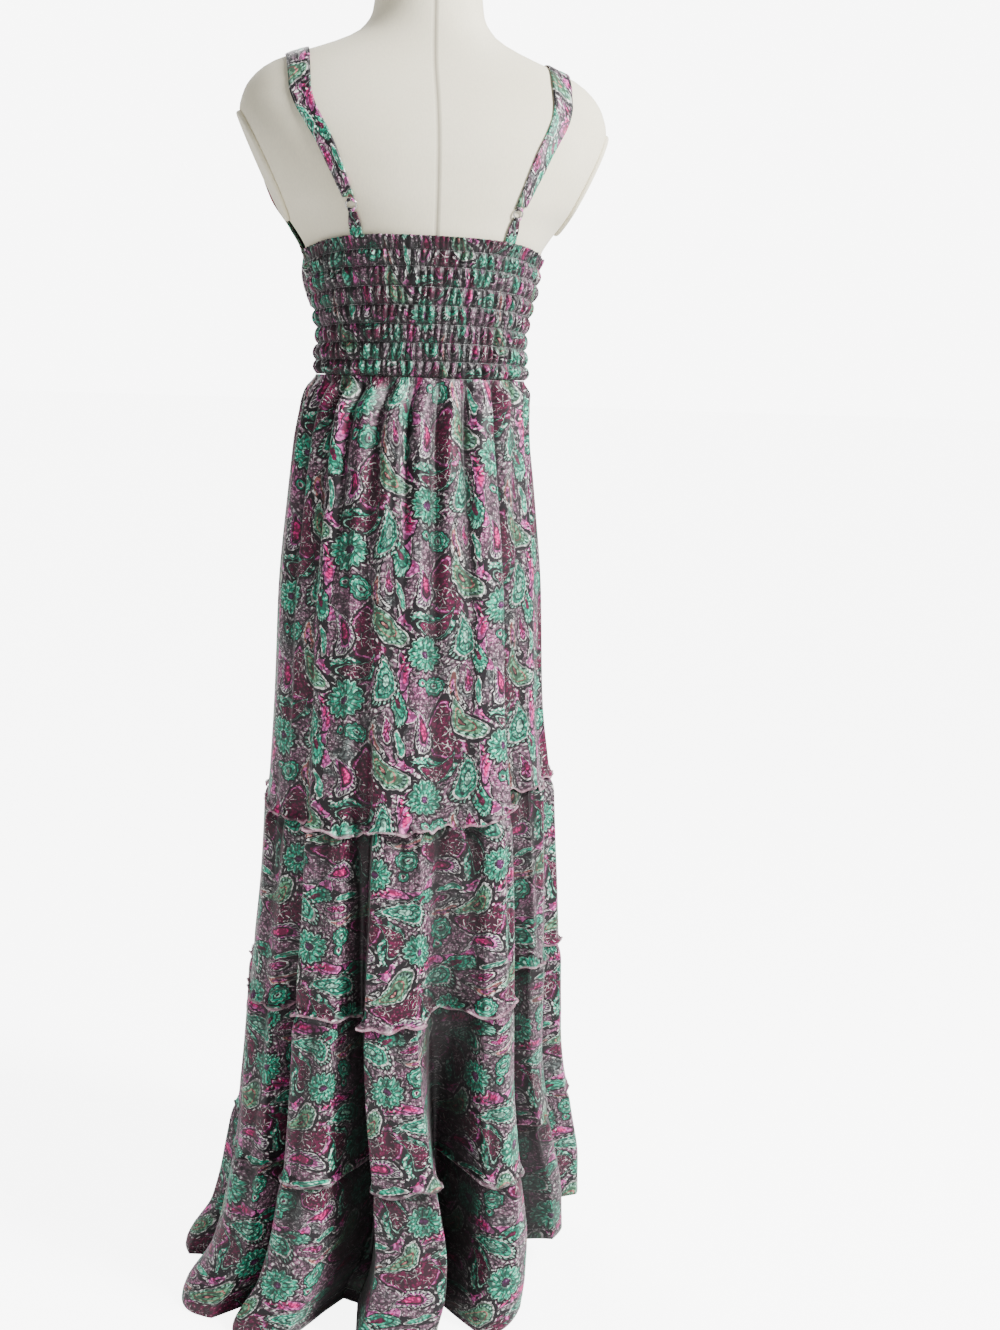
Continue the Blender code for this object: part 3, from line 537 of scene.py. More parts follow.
def addMotif(tree, cloth, colour, motif):
    kind, across, up, turn, halfWidth, halfLength, taper, bend = motif
    place = useGroup(tree, placeGroup, Cloth=cloth, Across=across, Up=up, Turn=math.radians(turn))
    size = {"HalfWidth": halfWidth, "HalfLength": halfLength, "Taper": taper, "Bend": bend}
    if kind in printPetals:
        petals, depth = printPetals[kind]
        size = {"Radius": halfWidth, "Petals": petals, "Depth": depth}
    shape = useGroup(tree, petalGroup if kind in printPetals else dropGroup, Local=place["Local"], **size)
    field = shape["Field"]
    ink = ramp(tree, field, [(begin, inks[name]) for name, begin in printBands[kind]], crisp=True)
    if kind in printTwigs:
        end, scale, thickness = printTwigs[kind]
        ink = addTwigs(tree, cloth, ink, field < end, scale, thickness)
    for row in printBeads.get(kind, []):
        ink = addBeads(tree, ink, shape, *row)
    if kind == "flower":
        # dark rays part its petals
        ray = abs((shape["Around"] * (petals / 2)).take("SINE")) * field < flowerRays["width"]
        ink = blendColours(tree, ray * (field > flowerRays["from"]), ink, inks["line"])
    if kind in beadedOutside:
        for row in outerBeads:
            colour = addBeads(tree, colour, shape, *row)
    colour = blendColours(tree, field < outlineTo, colour, inks["line"])
    return blendColours(tree, field < 1.0, colour, ink)


printedCloth = {
    "sheen": 0.18,
    "sheenRoughness": 0.4,
    "gloss": 0.35,
    "weaveThreads": 2600.0,
    "crumpleScale": 34.0,
    "crumpleRelief": (0.35, 0.004),  # strength and depth
    "weaveRelief": (0.25, 0.0002),
    "brokenHighlightScale": 110.0,  # patches that break up the pale edge of a tier: painted highlight and thread colour
    "hollowShade": 0.92,  # how far the painted shade in the hollows of the folds goes towards dark
}


def makePrintedCloth():
    look = printedCloth
    material, tree, shader = newMaterial(
        "printedViscose", Sheen_Weight=look["sheen"], Sheen_Roughness=look["sheenRoughness"],
        Specular_IOR_Level=look["gloss"],
    )
    cloth = addNode(tree, "ShaderNodeUVMap", uv_map="flatCut").outputs[0]
    drawn = wanderingCloth(tree, cloth)
    colour = groundInk(tree, drawn)
    for motif in printMotifs:
        colour = addMotif(tree, drawn, colour, motif)
    colour = addStipple(tree, drawn, colour)
    weave = useGroup(tree, weaveGroup, Cloth=cloth, Threads=look["weaveThreads"])
    slubs = ramp(tree, weave["Shade"], [(0.3, 0.86), (0.7, 1.0)])
    colour = blendColours(tree, 1.0, colour, slubs, "MULTIPLY")
    brokenHighlight = ramp(tree, noise(tree, cloth, look["brokenHighlightScale"]), [(0.42, 0.15), (0.55, 0.72)])
    # the pale pink edge of each lip: the overlock thread's colour, partly a painted highlight, broken into
    # patches
    colour = blendColours(tree, attribute(tree, "lipEdge") * brokenHighlight, colour, inks["lipThreadAndHighlight"])
    # painted shade: the hollows of the folds and gathers, the gaps between the bodice's puffs and the cloth
    # under each lip are darkened towards near black
    colour = blendColours(tree, attribute(tree, "hollow") * look["hollowShade"], colour, inks["shade"])
    join(tree, colour, shader.inputs["Base Color"])
    join(tree, ramp(tree, weave["Shade"], [(0.3, 0.44), (0.7, 0.58)]), shader.inputs["Roughness"])
    crumpled = bumpOn(tree, None, noise(tree, cloth, look["crumpleScale"], 3.0), *look["crumpleRelief"])
    bumpOn(tree, shader, weave["Height"], *look["weaveRelief"], crumpled)
    return material


printedViscose = makePrintedCloth()
print("printed cloth mixed:", len(printedViscose.node_tree.nodes), "nodes")


# threads

def makeThread(name, colour, roughness):
    # fibres, and patches of painted shade and painted highlight along the thread
    material, tree, shader = newMaterial(name, Roughness=roughness, Sheen_Weight=0.3)
    place = objectPlace(tree)
    fibres = noise(tree, place, 900.0)
    deep = tuple(c * 0.30 for c in colour[:3]) + (1.0,)
    pale = tuple(c * 0.5 + 0.45 for c in colour[:3]) + (1.0,)
    patches = ramp(tree, noise(tree, place, 130.0), [(0.40, deep), (0.50, colour), (0.62, pale)])
    shade = ramp(tree, fibres, [(0.3, 0.72), (0.7, 1.0)])
    join(tree, blendColours(tree, 1.0, patches, shade, "MULTIPLY"), shader.inputs["Base Color"])
    bumpOn(tree, shader, fibres, 0.5, 0.0002)
    return material


overlockThread = makeThread("overlockThread", fromScreen(232, 180, 200), 0.7)
# a darker copy of the overlock thread: painted shade on the third tier's lip
paintedShadeThread = makeThread("paintedShadeThread", fromScreen(150, 118, 132), 0.7)
sewingThread = makeThread("sewingThread", fromScreen(96, 92, 96), 0.6)


# the body of the dress form, measured as horizontal ovals

dressForm = {
    "bottom": 0.740,
    "neckTop": 1.492,
    # height, half width, back depth, front depth, roundness
    "sections": [
        (0.740, 0.118, 0.098, 0.086, 2.1), (0.800, 0.124, 0.106, 0.090, 2.1),
        (0.860, 0.126, 0.109, 0.091, 2.1),
        (0.920, 0.122, 0.103, 0.091, 2.1), (1.040, 0.105, 0.082, 0.086, 2.1),
        (1.080, 0.106, 0.081, 0.087, 2.1),
        (1.120, 0.110, 0.084, 0.091, 2.1), (1.155, 0.116, 0.089, 0.099, 2.1),
        (1.190, 0.123, 0.094, 0.114, 2.1),
        (1.215, 0.127, 0.098, 0.117, 2.1), (1.240, 0.141, 0.101, 0.113, 2.1),
        (1.270, 0.166, 0.103, 0.104, 2.2),
        (1.300, 0.185, 0.102, 0.093, 2.2), (1.330, 0.196, 0.097, 0.082, 2.2),
        (1.355, 0.199, 0.088, 0.072, 2.1),
        (1.375, 0.194, 0.077, 0.062, 2.0), (1.392, 0.182, 0.066, 0.054, 2.0),
        (1.405, 0.164, 0.059, 0.050, 2.0),
        (1.416, 0.136, 0.056, 0.048, 2.0), (1.428, 0.102, 0.054, 0.047, 2.0),
        (1.442, 0.074, 0.053, 0.048, 2.0),
        (1.462, 0.060, 0.052, 0.049, 2.0), (1.492, 0.056, 0.050, 0.049, 2.0),
    ],
    "clearance": 0.0010,  # between its skin and the dress
    "waistFlare": {"out": 0.0075, "top": 1.135, "reach": 0.045},
    "armPlanePoint": (0.1675, 0.0, 1.292),
    "armPlaneLean": 26.0,
    "armCutFrom": 1.240,
    "ringStep": 0.006,
    "columns": 144,
    # rows of the plates on the arm openings: share of the opening's outline, height over it
    "plateRim": [
        (0.97, 0.0004), (0.972, 0.0034), (0.965, 0.0046), (0.950, 0.0053), (0.92, 0.0054), (0.60, 0.0054),
    ],
}


def readTable(rows, at, column):
    # a smooth curve through one column of a table, its rows sorted by their first value
    keys = np.array([row[0] for row in rows], float)
    values = np.array([row[column] for row in rows], float)
    steps = np.diff(values) / np.diff(keys)
    slopes = np.zeros(len(keys))
    slopes[-1] = steps[-1]
    before, after = steps[:-1], steps[1:]
    rising = before * after > 0
    slopes[1:-1][rising] = 2 * (before * after)[rising] / (before + after)[rising]
    at = np.clip(at, keys[0], keys[-1])
    i = np.clip(np.searchsorted(keys, at, side="right") - 1, 0, len(keys) - 2)
    span = keys[i + 1] - keys[i]
    t = (at - keys[i]) / span
    rise = values[i + 1] - values[i]
    bulge = (1 - t) * (slopes[i] * span - rise) - t * (slopes[i + 1] * span - rise)
    return values[i] + rise * t + t * (1 - t) * bulge


def ease(x):
    x = np.clip(x, 0.0, 1.0)
    return x * x * (3 - 2 * x)


def bump(x, centre, width):
    return np.exp(-((x - centre) / width) ** 2)


def ovalPoint(angle, halfWidth, back, front, roundness):
    # angles run from the middle of the back towards the wearer's right
    sideways, backwards = np.sin(np.radians(angle)), np.cos(np.radians(angle))
    power = 2.0 / roundness
    depth = np.where(backwards > 0, back, front)
    x = halfWidth * np.sign(sideways) * np.abs(sideways) ** power
    return x, -depth * np.sign(backwards) * np.abs(backwards) ** power


def formPoint(angle, height, outwards=0.0):
    angle, height, outwards = np.broadcast_arrays(np.asarray(angle, float), height, outwards)
    sizes = [readTable(dressForm["sections"], height, column) for column in (1, 2, 3, 4)]
    x, y = ovalPoint(angle, *sizes)
    x0, y0 = ovalPoint(angle - 1.0, *sizes)
    x1, y1 = ovalPoint(angle + 1.0, *sizes)
    length = np.hypot(x1 - x0, y1 - y0)
    return np.stack([x + (y1 - y0) / length * outwards, y - (x1 - x0) / length * outwards, height], -1)


def insideForm(points):
    sizes = [readTable(dressForm["sections"], points[..., 2], column) for column in (1, 2, 3, 4)]
    depth = np.where(points[..., 1] < 0, sizes[1], sizes[2])
    inside = np.abs(points[..., 0] / sizes[0]) ** sizes[3] + np.abs(points[..., 1] / depth) ** sizes[3] < 1
    return inside & (points[..., 2] > dressForm["bottom"]) & (points[..., 2] < dressForm["neckTop"])


def skinAlong(start, direction):
    # where lines from inside the form come out of its skin
    low = np.zeros(start.shape[:-1])
    high = low + 0.3
    for halving in range(17):
        middle = (low + high) / 2
        inside = insideForm(start + direction * middle[..., None])
        low = np.where(inside, middle, low)
        high = np.where(inside, high, middle)
    return start + direction * low[..., None]


def waistFlare(angle, height):
    # the elastic stands off the form at both sides, just above the waist seam
    size = dressForm["waistFlare"]
    return size["out"] * np.sin(np.radians(angle)) ** 2 * ease((size["top"] - height) / size["reach"])


# making meshes

def meshObject(name, vertices, faces, material):
    mesh = bpy.data.meshes.new(name)
    mesh.from_pydata([tuple(v) for v in vertices], [], [tuple(f) for f in faces])
    return finishMesh(name, mesh, material)


def finishMesh(name, mesh, material, sharpFrom=None):
    mesh.shade_smooth()
    if sharpFrom:
        mesh.set_sharp_from_angle(angle=math.radians(sharpFrom))
    mesh.materials.append(material)
    return addObject(name, mesh)


def meshFrom(name, bm, material, sharpFrom=None):
    mesh = bpy.data.meshes.new(name)
    bm.to_mesh(mesh)
    bm.free()
    return finishMesh(name, mesh, material, sharpFrom)


def clothFromGrid(name, points, flat, thickness, **shades):
    # points go down the rows and, seen from outside, from left to right; flat holds their places on the cut
    rows, columns = points.shape[:2]
    number = np.arange(rows * columns).reshape(rows, columns)
    corners = [number[:-1, :-1], number[1:, :-1], number[1:, 1:], number[:-1, 1:]]
    faces = np.stack(corners, -1).reshape(-1, 4)
    obj = meshObject(name, points.reshape(-1, 3).tolist(), faces.tolist(), printedViscose)
    layer = obj.data.uv_layers.new(name="flatCut")
    layer.data.foreach_set("uv", flat.reshape(-1, 2)[faces.reshape(-1)].astype(np.float32).reshape(-1))
    for title, values in shades.items():
        values = np.clip(values, 0.0, 1.0).astype(np.float32).reshape(-1)
        obj.data.attributes.new(title, "FLOAT", "POINT").data.foreach_set("value", values)
    wall = obj.modifiers.new("clothThickness", "SOLIDIFY")
    wall.thickness = thickness
    wall.offset = -1.0
    return obj


def lengthsAlong(points, axis):
    steps = np.linalg.norm(np.diff(points, axis=axis), axis=-1)
    start = np.zeros_like(np.take(steps, [0], axis=axis))
    return np.concatenate([start, np.cumsum(steps, axis=axis)], axis=axis)


def finishPiece(obj, nodes=()):
    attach(obj, "root")
    if nodes:
        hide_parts(*nodes)


def clothArea(points):
    a, b, c, d = points[:-1, :-1], points[1:, :-1], points[1:, 1:], points[:-1, 1:]
    halves = np.cross(b - a, c - a), np.cross(c - a, d - a)
    return float(sum(np.linalg.norm(half, axis=-1).sum() for half in halves) / 2)


# the skirt

skirt = {
    # height, half width, back, front, shift in x, shift in y, depth of the folds
    "sections": [
        (0.000, 0.222, 0.154, 0.160, -0.022, -0.010, 0.0340),
        (0.060, 0.205, 0.154, 0.158, -0.006, -0.008, 0.0330),
        (0.120, 0.195, 0.155, 0.156, 0.000, -0.005, 0.0310),
        (0.200, 0.181, 0.156, 0.154, -0.002, -0.003, 0.0270),
        (0.300, 0.173, 0.154, 0.151, -0.005, -0.002, 0.0210),
        (0.400, 0.171, 0.152, 0.147, -0.004, -0.001, 0.0150),
        (0.500, 0.167, 0.149, 0.142, -0.002, 0.000, 0.0105),
        (0.610, 0.161, 0.145, 0.136, -0.003, 0.000, 0.0070),
        (0.720, 0.153, 0.140, 0.129, -0.007, 0.000, 0.0040),
        (0.840, 0.149, 0.134, 0.121, -0.008, 0.000, 0.0025),
        (0.950, 0.138, 0.121, 0.113, -0.008, 0.000, 0.0020),
        (1.010, 0.130, 0.110, 0.108, -0.008, 0.000, 0.0015),
        (1.045, 0.124, 0.101, 0.105, -0.006, 0.000, 0.0010), (1.068, 0.119, 0.094, 0.099, -0.004, 0.000, 0.0),
        (1.085, 0.110, 0.084, 0.0905, -0.001, 0.000, 0.0),
    ],
    # ridges: angle, half width, how far out, valley after it, valley at the knee, swing by the hem
    "folds": [
        (-72.5, 12.5, 1.15, 1.7, 1.2, 6.0), (-38.0, 8.5, 1.00, 2.1, 1.5, -3.0),
        (-10.0, 8.5, 1.10, 2.2, 1.6, 11.0),
        (28.5, 7.0, 1.05, 1.6, 2.8, -4.0), (60.0, 7.0, 0.10, 1.2, 0.6, 10.0),
        (84.0, 7.0, 1.20, 1.4, 1.0, 19.0),
        (111.0, 7.0, 0.90, 1.6, 1.2, 12.0), (138.0, 8.0, 1.00, 1.7, 1.2, 4.0),
        (164.0, 8.0, 0.90, 1.8, 1.2, 0.0),
        (190.0, 8.0, 1.00, 1.7, 1.2, 0.0), (216.0, 8.0, 0.90, 1.6, 1.2, 0.0),
        (251.0, 10.0, 1.00, 1.6, 1.2, 0.0),
    ],
    "ridgeRound": 0.30,  # how much lower a ridge is at its edges
    "knee": (0.15, 0.35),  # where the valleys at the knee begin, and the height they take to do so
    "swingBelow": 0.42,
    "leftSeam": -92.0,
    "rightSeam": 97.5,
    "thickness": 0.0008,
    "lip": 0.009,  # how far a tier hangs below the seam that gathers the next one
    "tuck": 0.0015,
    "lift": (24.0, 54.0, 130.0, 205.0),  # the angles between which the skirt is held up
    "seamTops": (1.085, 0.608, 0.390, 0.195),
    "seamLifts": (0.0, 0.030, 0.034, 0.022),
    "seamWave": 0.003,
    "hemLift": 0.050,
    "hemRaise": 0.004,  # of the hem's valleys over its ridges
    "gathers": 24,
    "fineGathers": 61,
    "ruffles": 58,
    "lipRows": 8,
    # what changes a lip's length, as shares of it
    "lipSweep": 0.34,
    "lipWaver": 0.26,
    "lipScallop": 0.40,
    "leastFlare": 0.0022,
    "calmAtSides": 0.55,  # there the lip lies closer
    "waistTurn": 0.034,  # height over which the cloth leaves the bodice's edge
    "tuckedIn": 0.0021,  # how far a tier's top lies under the lip above
    # near the floor the valleys stay clear of the base plate: fully below one height, not at all above
    "baseClear": 0.129,
    "clearFull": 0.024,
    "clearTop": 0.110,
}


def foldPairs():
    folds = skirt["folds"]
    for k, here in enumerate(folds):
        after = folds[(k + 1) % len(folds)]
        turn = 360.0 if k == len(folds) - 1 else 0.0
        yield here, (after[0] + turn,) + after[1:]


def foldWave(angle, height):
    # the large folds: about 1 on a ridge, less than -1 in a valley
    angle, height = np.broadcast_arrays(np.asarray(angle, float), np.asarray(height, float))
    first = skirt["folds"][0][0] - skirt["folds"][0][1]
    angle = (angle - first) % 360.0 + first
    low, reach = skirt["knee"]
    knee = ease((height - low) / reach)
    rounding = skirt["ridgeRound"]
    wave = np.zeros_like(angle)
    for here, after in foldPairs():
        start, end = here[0] + here[1], after[0] - after[1]
        ridge = (angle >= here[0] - here[1]) & (angle <= start)
        wave = np.where(ridge, here[2] * (1.0 - rounding * ((angle - here[0]) / here[1]) ** 2), wave)
        share = np.clip((angle - start) / (end - start), 0.0, 1.0)
        edge = (1.0 - rounding) * (here[2] + (after[2] - here[2]) * ease(share))
        valley = here[3] + (here[4] - here[3]) * knee
        dip = edge - (edge + valley) * np.sin(np.pi * share) ** 0.75
        wave = np.where((angle > start) & (angle < end), dip, wave)
    return wave


def swungAngle(angle, height):
    # towards the hem the folds drift round the skirt
    first = skirt["folds"][0][0]
    angle = (angle - first) % 360.0 + first
    swung = angle
    for here, after in foldPairs():
        share = ease((angle - here[0]) / (after[0] - here[0]))
        drift = (here[5] + (after[5] - here[5]) * share) * (1.0 - ease(height / skirt["swingBelow"]))
        swung = np.where((angle >= here[0]) & (angle <= after[0]), angle + drift, swung)
    return swung


def seamHeight(index, angle):
    # the seam at a tier's top; number 4 is the hem
    begin, full, still, end = skirt["lift"]
    turned = (angle - begin + 90.0) % 360.0 + begin - 90.0
    lift = ease((turned - begin) / (full - begin)) * ease((end - turned) / (end - still))
    if index == 4:
        valley = 0.5 - 0.5 * np.clip(foldWave(angle, 0.0), -1.0, 1.0)
        return 0.001 + skirt["hemRaise"] * valley ** 2 + skirt["hemLift"] * lift
    wave = skirt["seamWave"] * np.sin(np.radians(3 * angle) + 0.7 * index) if index else 0.0
    return skirt["seamTops"][index] + skirt["seamLifts"][index] * lift + wave


def skirtPoint(angle, height, outwards):
    sizes = [readTable(skirt["sections"], height, column) for column in range(1, 7)]
    x, y = ovalPoint(swungAngle(angle, height), *sizes[:3], 2.15)
    reach = np.hypot(x, y)
    out = sizes[5] * foldWave(angle, height) + outwards
    x, y = x * (1 + out / reach) + sizes[3], y * (1 + out / reach) + sizes[4]
    reach = np.hypot(x, y)
    low = ease((skirt["clearTop"] - height) / (skirt["clearTop"] - skirt["clearFull"]))
    push = np.maximum(1.0, skirt["baseClear"] * np.sqrt(low) / reach)
    return np.stack([x * push, y * push, height + 0.0 * x], -1)


# soft troughs and ridges, placed one by one: angle, top, length, half width in degrees, depth, lean in
# degrees
skirtCreases = [
    (-80, 1.05, 0.34, 2.6, -0.0030, 3), (-66, 1.06, 0.46, 3.0, -0.0036, 5), (-55, 0.98, 0.30, 2.4, 0.0024, 2),
    (-47, 1.07, 0.42, 2.2, -0.0032, -3), (-38, 1.05, 0.22, 1.8, -0.0026, 1),
    (-31, 1.07, 0.52, 2.4, -0.0042, -2),
    (-22, 1.03, 0.30, 2.0, 0.0022, 2), (-14, 1.07, 0.40, 2.2, -0.0036, 3), (-7, 1.06, 0.18, 1.6, -0.0024, 0),
    (1, 1.07, 0.48, 2.6, -0.0040, 4), (9, 1.04, 0.28, 2.0, 0.0022, -2), (18, 1.07, 0.36, 2.4, -0.0034, 2),
    (29, 1.06, 0.24, 2.0, -0.0028, 1), (38, 1.07, 0.50, 2.8, -0.0036, 3), (50, 1.05, 0.34, 2.4, -0.0026, -2),
    (63, 1.06, 0.44, 2.8, -0.0030, 4), (78, 1.05, 0.36, 2.6, -0.0030, -3), (108, 1.06, 0.40, 2.6, -0.0032, 3),
    (122, 1.06, 0.30, 2.2, -0.0028, -2), (139, 1.07, 0.46, 2.8, -0.0036, 4),
    (158, 1.06, 0.34, 2.4, -0.0030, 0),
    (176, 1.07, 0.50, 2.6, -0.0038, -3), (193, 1.06, 0.28, 2.2, -0.0026, 2),
    (209, 1.06, 0.42, 2.8, -0.0034, 2),
    (226, 1.05, 0.36, 2.4, -0.0030, -2), (243, 1.06, 0.44, 2.6, -0.0034, 3),
    (258, 1.05, 0.30, 2.4, -0.0026, 0),
    # middle of the skirt
    (-70, 0.66, 0.34, 2.4, -0.0040, 4), (-44, 0.70, 0.40, 2.0, 0.0030, -3),
    (-27, 0.62, 0.30, 1.8, -0.0038, 3),
    (-3, 0.66, 0.36, 2.0, -0.0034, -2), (14, 0.64, 0.30, 2.2, 0.0030, 2), (31, 0.60, 0.32, 1.6, -0.0036, 2),
    (56, 0.64, 0.30, 2.4, -0.0034, 3), (73, 0.62, 0.36, 2.4, 0.0030, 0), (101, 0.66, 0.34, 2.4, -0.0036, 2),
    (128, 0.62, 0.30, 2.2, -0.0034, -3), (151, 0.66, 0.34, 2.4, 0.0028, 2),
    (172, 0.62, 0.36, 2.0, -0.0036, 2),
    (201, 0.64, 0.30, 2.4, -0.0032, -2), (233, 0.66, 0.36, 2.2, -0.0036, 3),
    (262, 0.62, 0.32, 2.4, 0.0028, 0),
    # flat fronts of the lower folds
    (-78, 0.36, 0.30, 1.8, -0.0046, 2), (-66, 0.30, 0.26, 1.6, -0.0036, -2),
    (-40, 0.34, 0.30, 1.5, -0.0044, 2),
    (-34, 0.20, 0.18, 1.2, 0.0030, 1), (-12, 0.36, 0.32, 1.6, -0.0046, -2), (-6, 0.24, 0.20, 1.2, -0.0034, 1),
    (24, 0.34, 0.30, 1.6, -0.0044, 2), (30, 0.22, 0.18, 1.2, 0.0030, -1), (62, 0.30, 0.26, 2.0, -0.0036, 2),
    (82, 0.32, 0.28, 1.6, -0.0040, -2), (88, 0.20, 0.16, 1.2, -0.0030, 1), (112, 0.34, 0.30, 1.6, -0.0040, 2),
    (139, 0.30, 0.26, 1.8, -0.0044, -2), (163, 0.34, 0.30, 1.6, -0.0040, 1),
    (191, 0.30, 0.28, 1.8, -0.0042, 2),
    (217, 0.34, 0.30, 1.6, -0.0040, -1), (249, 0.32, 0.28, 1.8, -0.0044, 2),
    (255, 0.20, 0.16, 1.4, 0.0030, 1),
]


def creaseRelief(angle, height):
    relief = np.zeros(np.broadcast(angle, height).shape)
    for where, top, length, halfWidth, depth, lean in skirtCreases:
        down = (top - height) / length
        across = (angle - where - lean * np.clip(down, 0, 1) + 180.0) % 360.0 - 180.0
        along = np.sin(np.pi * np.clip(down, 0.0, 1.0) ** 0.6) ** 0.8
        relief += depth * along * np.exp(-((across / halfWidth) ** 2))
    return relief


def roundFronts(phase, narrow):
    # a wave between -1 and 1, with rounded fronts and narrow valleys
    return 2.0 * (0.5 + 0.5 * np.cos(phase)) ** narrow - 1.0


def gatherShape(angle, narrow):
    a = np.radians(angle)
    return roundFronts(skirt["gathers"] * a + 0.9 * np.sin(3 * a + 1.0) + 0.6 * np.sin(7 * a), narrow)


def fineGathers(angle, index):
    a = np.radians(angle)
    uneven = 0.65 + 0.35 * np.sin(5 * a + index) * np.sin(11 * a + 2.0)
    phase = skirt["fineGathers"] * a + 1.6 * np.sin(4 * a + index) + 1.1 * np.sin(9 * a)
    return uneven * roundFronts(phase, 0.6)


# gathers, long and fine: heights of three kinds of folds under the seam; flare: how far the lip stands out
firstTier = {
    "name": "firstTier",
    "index": 0,
    "node": "tier_1",
    "turnedPrint": False,
    "printShift": (-0.021, 0.053),
    "gathers": 0.0046,
    "gatherReach": 0.13,
    "gatherStart": 0.016,
    "long": 0.0026,
    "fine": 0.0012,
    "fineReach": 0.030,
    "back": {"rows": 82, "columns": 310, "cut": (0.490, 0.492)},
    "front": {"rows": 48, "columns": 210, "cut": (0.440, 0.480)},
    "flare": 0.0070,
    "edgeShine": 1.0,
    # angle, width in degrees and how much longer the lip is there
    "lipDips": [(-24, 9, 0.0080), (28, 12, -0.0025)],
    # its edge is overlocked where a ridge stands out by more than this
    "overlockFrom": 0.30,
    "thread": overlockThread,
}
secondTier = {
    "name": "secondTier",
    "index": 1,
    "node": "tier_2",
    "turnedPrint": True,
    "printShift": (0.03, 0.01),
    "gathers": 0.0048,
    "gatherReach": 0.085,
    "gatherStart": 0.018,
    "long": 0.0014,
    "fine": 0.0018,
    "fineReach": 0.026,
    "back": {"rows": 54, "columns": 370, "cut": (0.69, 0.232)},
    "front": {"rows": 34, "columns": 240, "cut": (0.62, 0.232)},
    "flare": 0.0090,
    "edgeShine": 0.9,
    "lipDips": [(-22, 6, 0.0090), (10, 7, 0.0040)],
    "overlockFrom": 0.45,
    "thread": overlockThread,
}
thirdTier = dict(
    secondTier,
    name="thirdTier",
    index=2,
    node="tier_3",
    printShift=(0.06, 0.03),
    gathers=0.0050,
    long=0.0012,
    back={"rows": 50, "columns": 400, "cut": (0.98, 0.212)},
    front={"rows": 32, "columns": 260, "cut": (0.91, 0.212)},
    flare=0.0060,
    # on this tier's lip the painted highlight is weaker
    edgeShine=0.3,
    lipDips=[],
    overlockFrom=0.86,
    thread=paintedShadeThread,
)
fourthTier = dict(
    secondTier,
    name="fourthTier",
    index=3,
    node="tier_4",
    printShift=(0.02, 0.05),
    gatherReach=0.075,
    long=0.0012,
    back={"rows": 50, "columns": 410, "cut": (1.21, 0.185)},
    front={"rows": 34, "columns": 270, "cut": (1.11, 0.185)},
)


def tierRelief(tier, angle, height, top, foot):
    drop = np.maximum(top - height, 0.0)
    grow = ease(drop / tier["gatherStart"])
    nearFoot = ease((height - foot) / 0.030) if tier["index"] < 3 else 1.0
    big = tier["gathers"] * np.exp(-drop / tier["gatherReach"]) * gatherShape(angle, 0.55)
    long = tier["long"] * np.exp(-drop / 0.35) * gatherShape(angle, 0.8)
    fine = tier["fine"] * np.exp(-drop / tier["fineReach"]) * fineGathers(angle, tier["index"])
    folds = (big + long + fine) * grow * (0.25 + 0.75 * nearFoot)
    return folds + creaseRelief(angle, height) * (0.4 + 0.6 * nearFoot)


def tierPoint(tier, angle, height, top, foot):
    return skirtPoint(angle, height, tierRelief(tier, angle, height, top, foot))


def tierPaintedShade(tier, angle, height, top):
    # 1 deep in the folds, where little light comes, and 0 on their fronts
    drop = np.maximum(top - height, 0.0)
    large = readTable(skirt["sections"], height, 6) / 0.026 * (0.42 - foldWave(angle, height)) / 1.5
    small = 0.75 * np.exp(-drop / (tier["gatherReach"] * 0.8)) * (0.5 - 0.5 * gatherShape(angle, 0.55)) ** 1.6
    long = 0.30 * np.exp(-drop / 0.40) * (0.5 - 0.5 * gatherShape(angle, 0.8)) ** 1.6
    creases = np.clip(-creaseRelief(angle, height) / 0.008, 0.0, 0.5)
    return np.clip(large, 0.0, 1.0) ** 0.8 + small + long + creases


def evenColumns(tier, start, end, count):
    # columns of points the same distance apart along the folded cloth
    fine = np.linspace(start, end, 3000)
    top, foot = seamHeight(tier["index"], fine), seamHeight(tier["index"] + 1, fine)
    level = top + (foot - top) * 0.55
    length = lengthsAlong(tierPoint(tier, fine, level, top, foot), 0)
    return np.interp(np.linspace(0, length[-1], count + 1), length, fine), np.linspace(0, 1, count + 1)


def outwardOf(pointAt, angle, height):
    # the outward direction of the level section
    ahead, behind = pointAt(angle + 0.25, height), pointAt(angle - 0.25, height)
    along = ahead - behind
    normal = np.stack([along[..., 1], -along[..., 0], np.zeros(along.shape[:-1])], -1)
    return normal / np.linalg.norm(normal, axis=-1, keepdims=True)


def waistPoints(tier, points, grid, heights, tops, feet):
    # from the bodice's lower edge the cloth swings out smoothly to the hips, always outside the form
    turn = ease((tops - heights) / skirt["waistTurn"])[..., None]
    spread = 0.30 * (tops - heights) * np.sin(np.radians(grid)) ** 2
    relief = tierRelief(tier, grid, heights, tops, feet)
    off = np.maximum(0.0016 + waistFlare(grid, heights) + spread + relief, 0.0004)
    snug = formPoint(grid, heights, dressForm["clearance"] + off)
    return snug + (points - snug) * turn


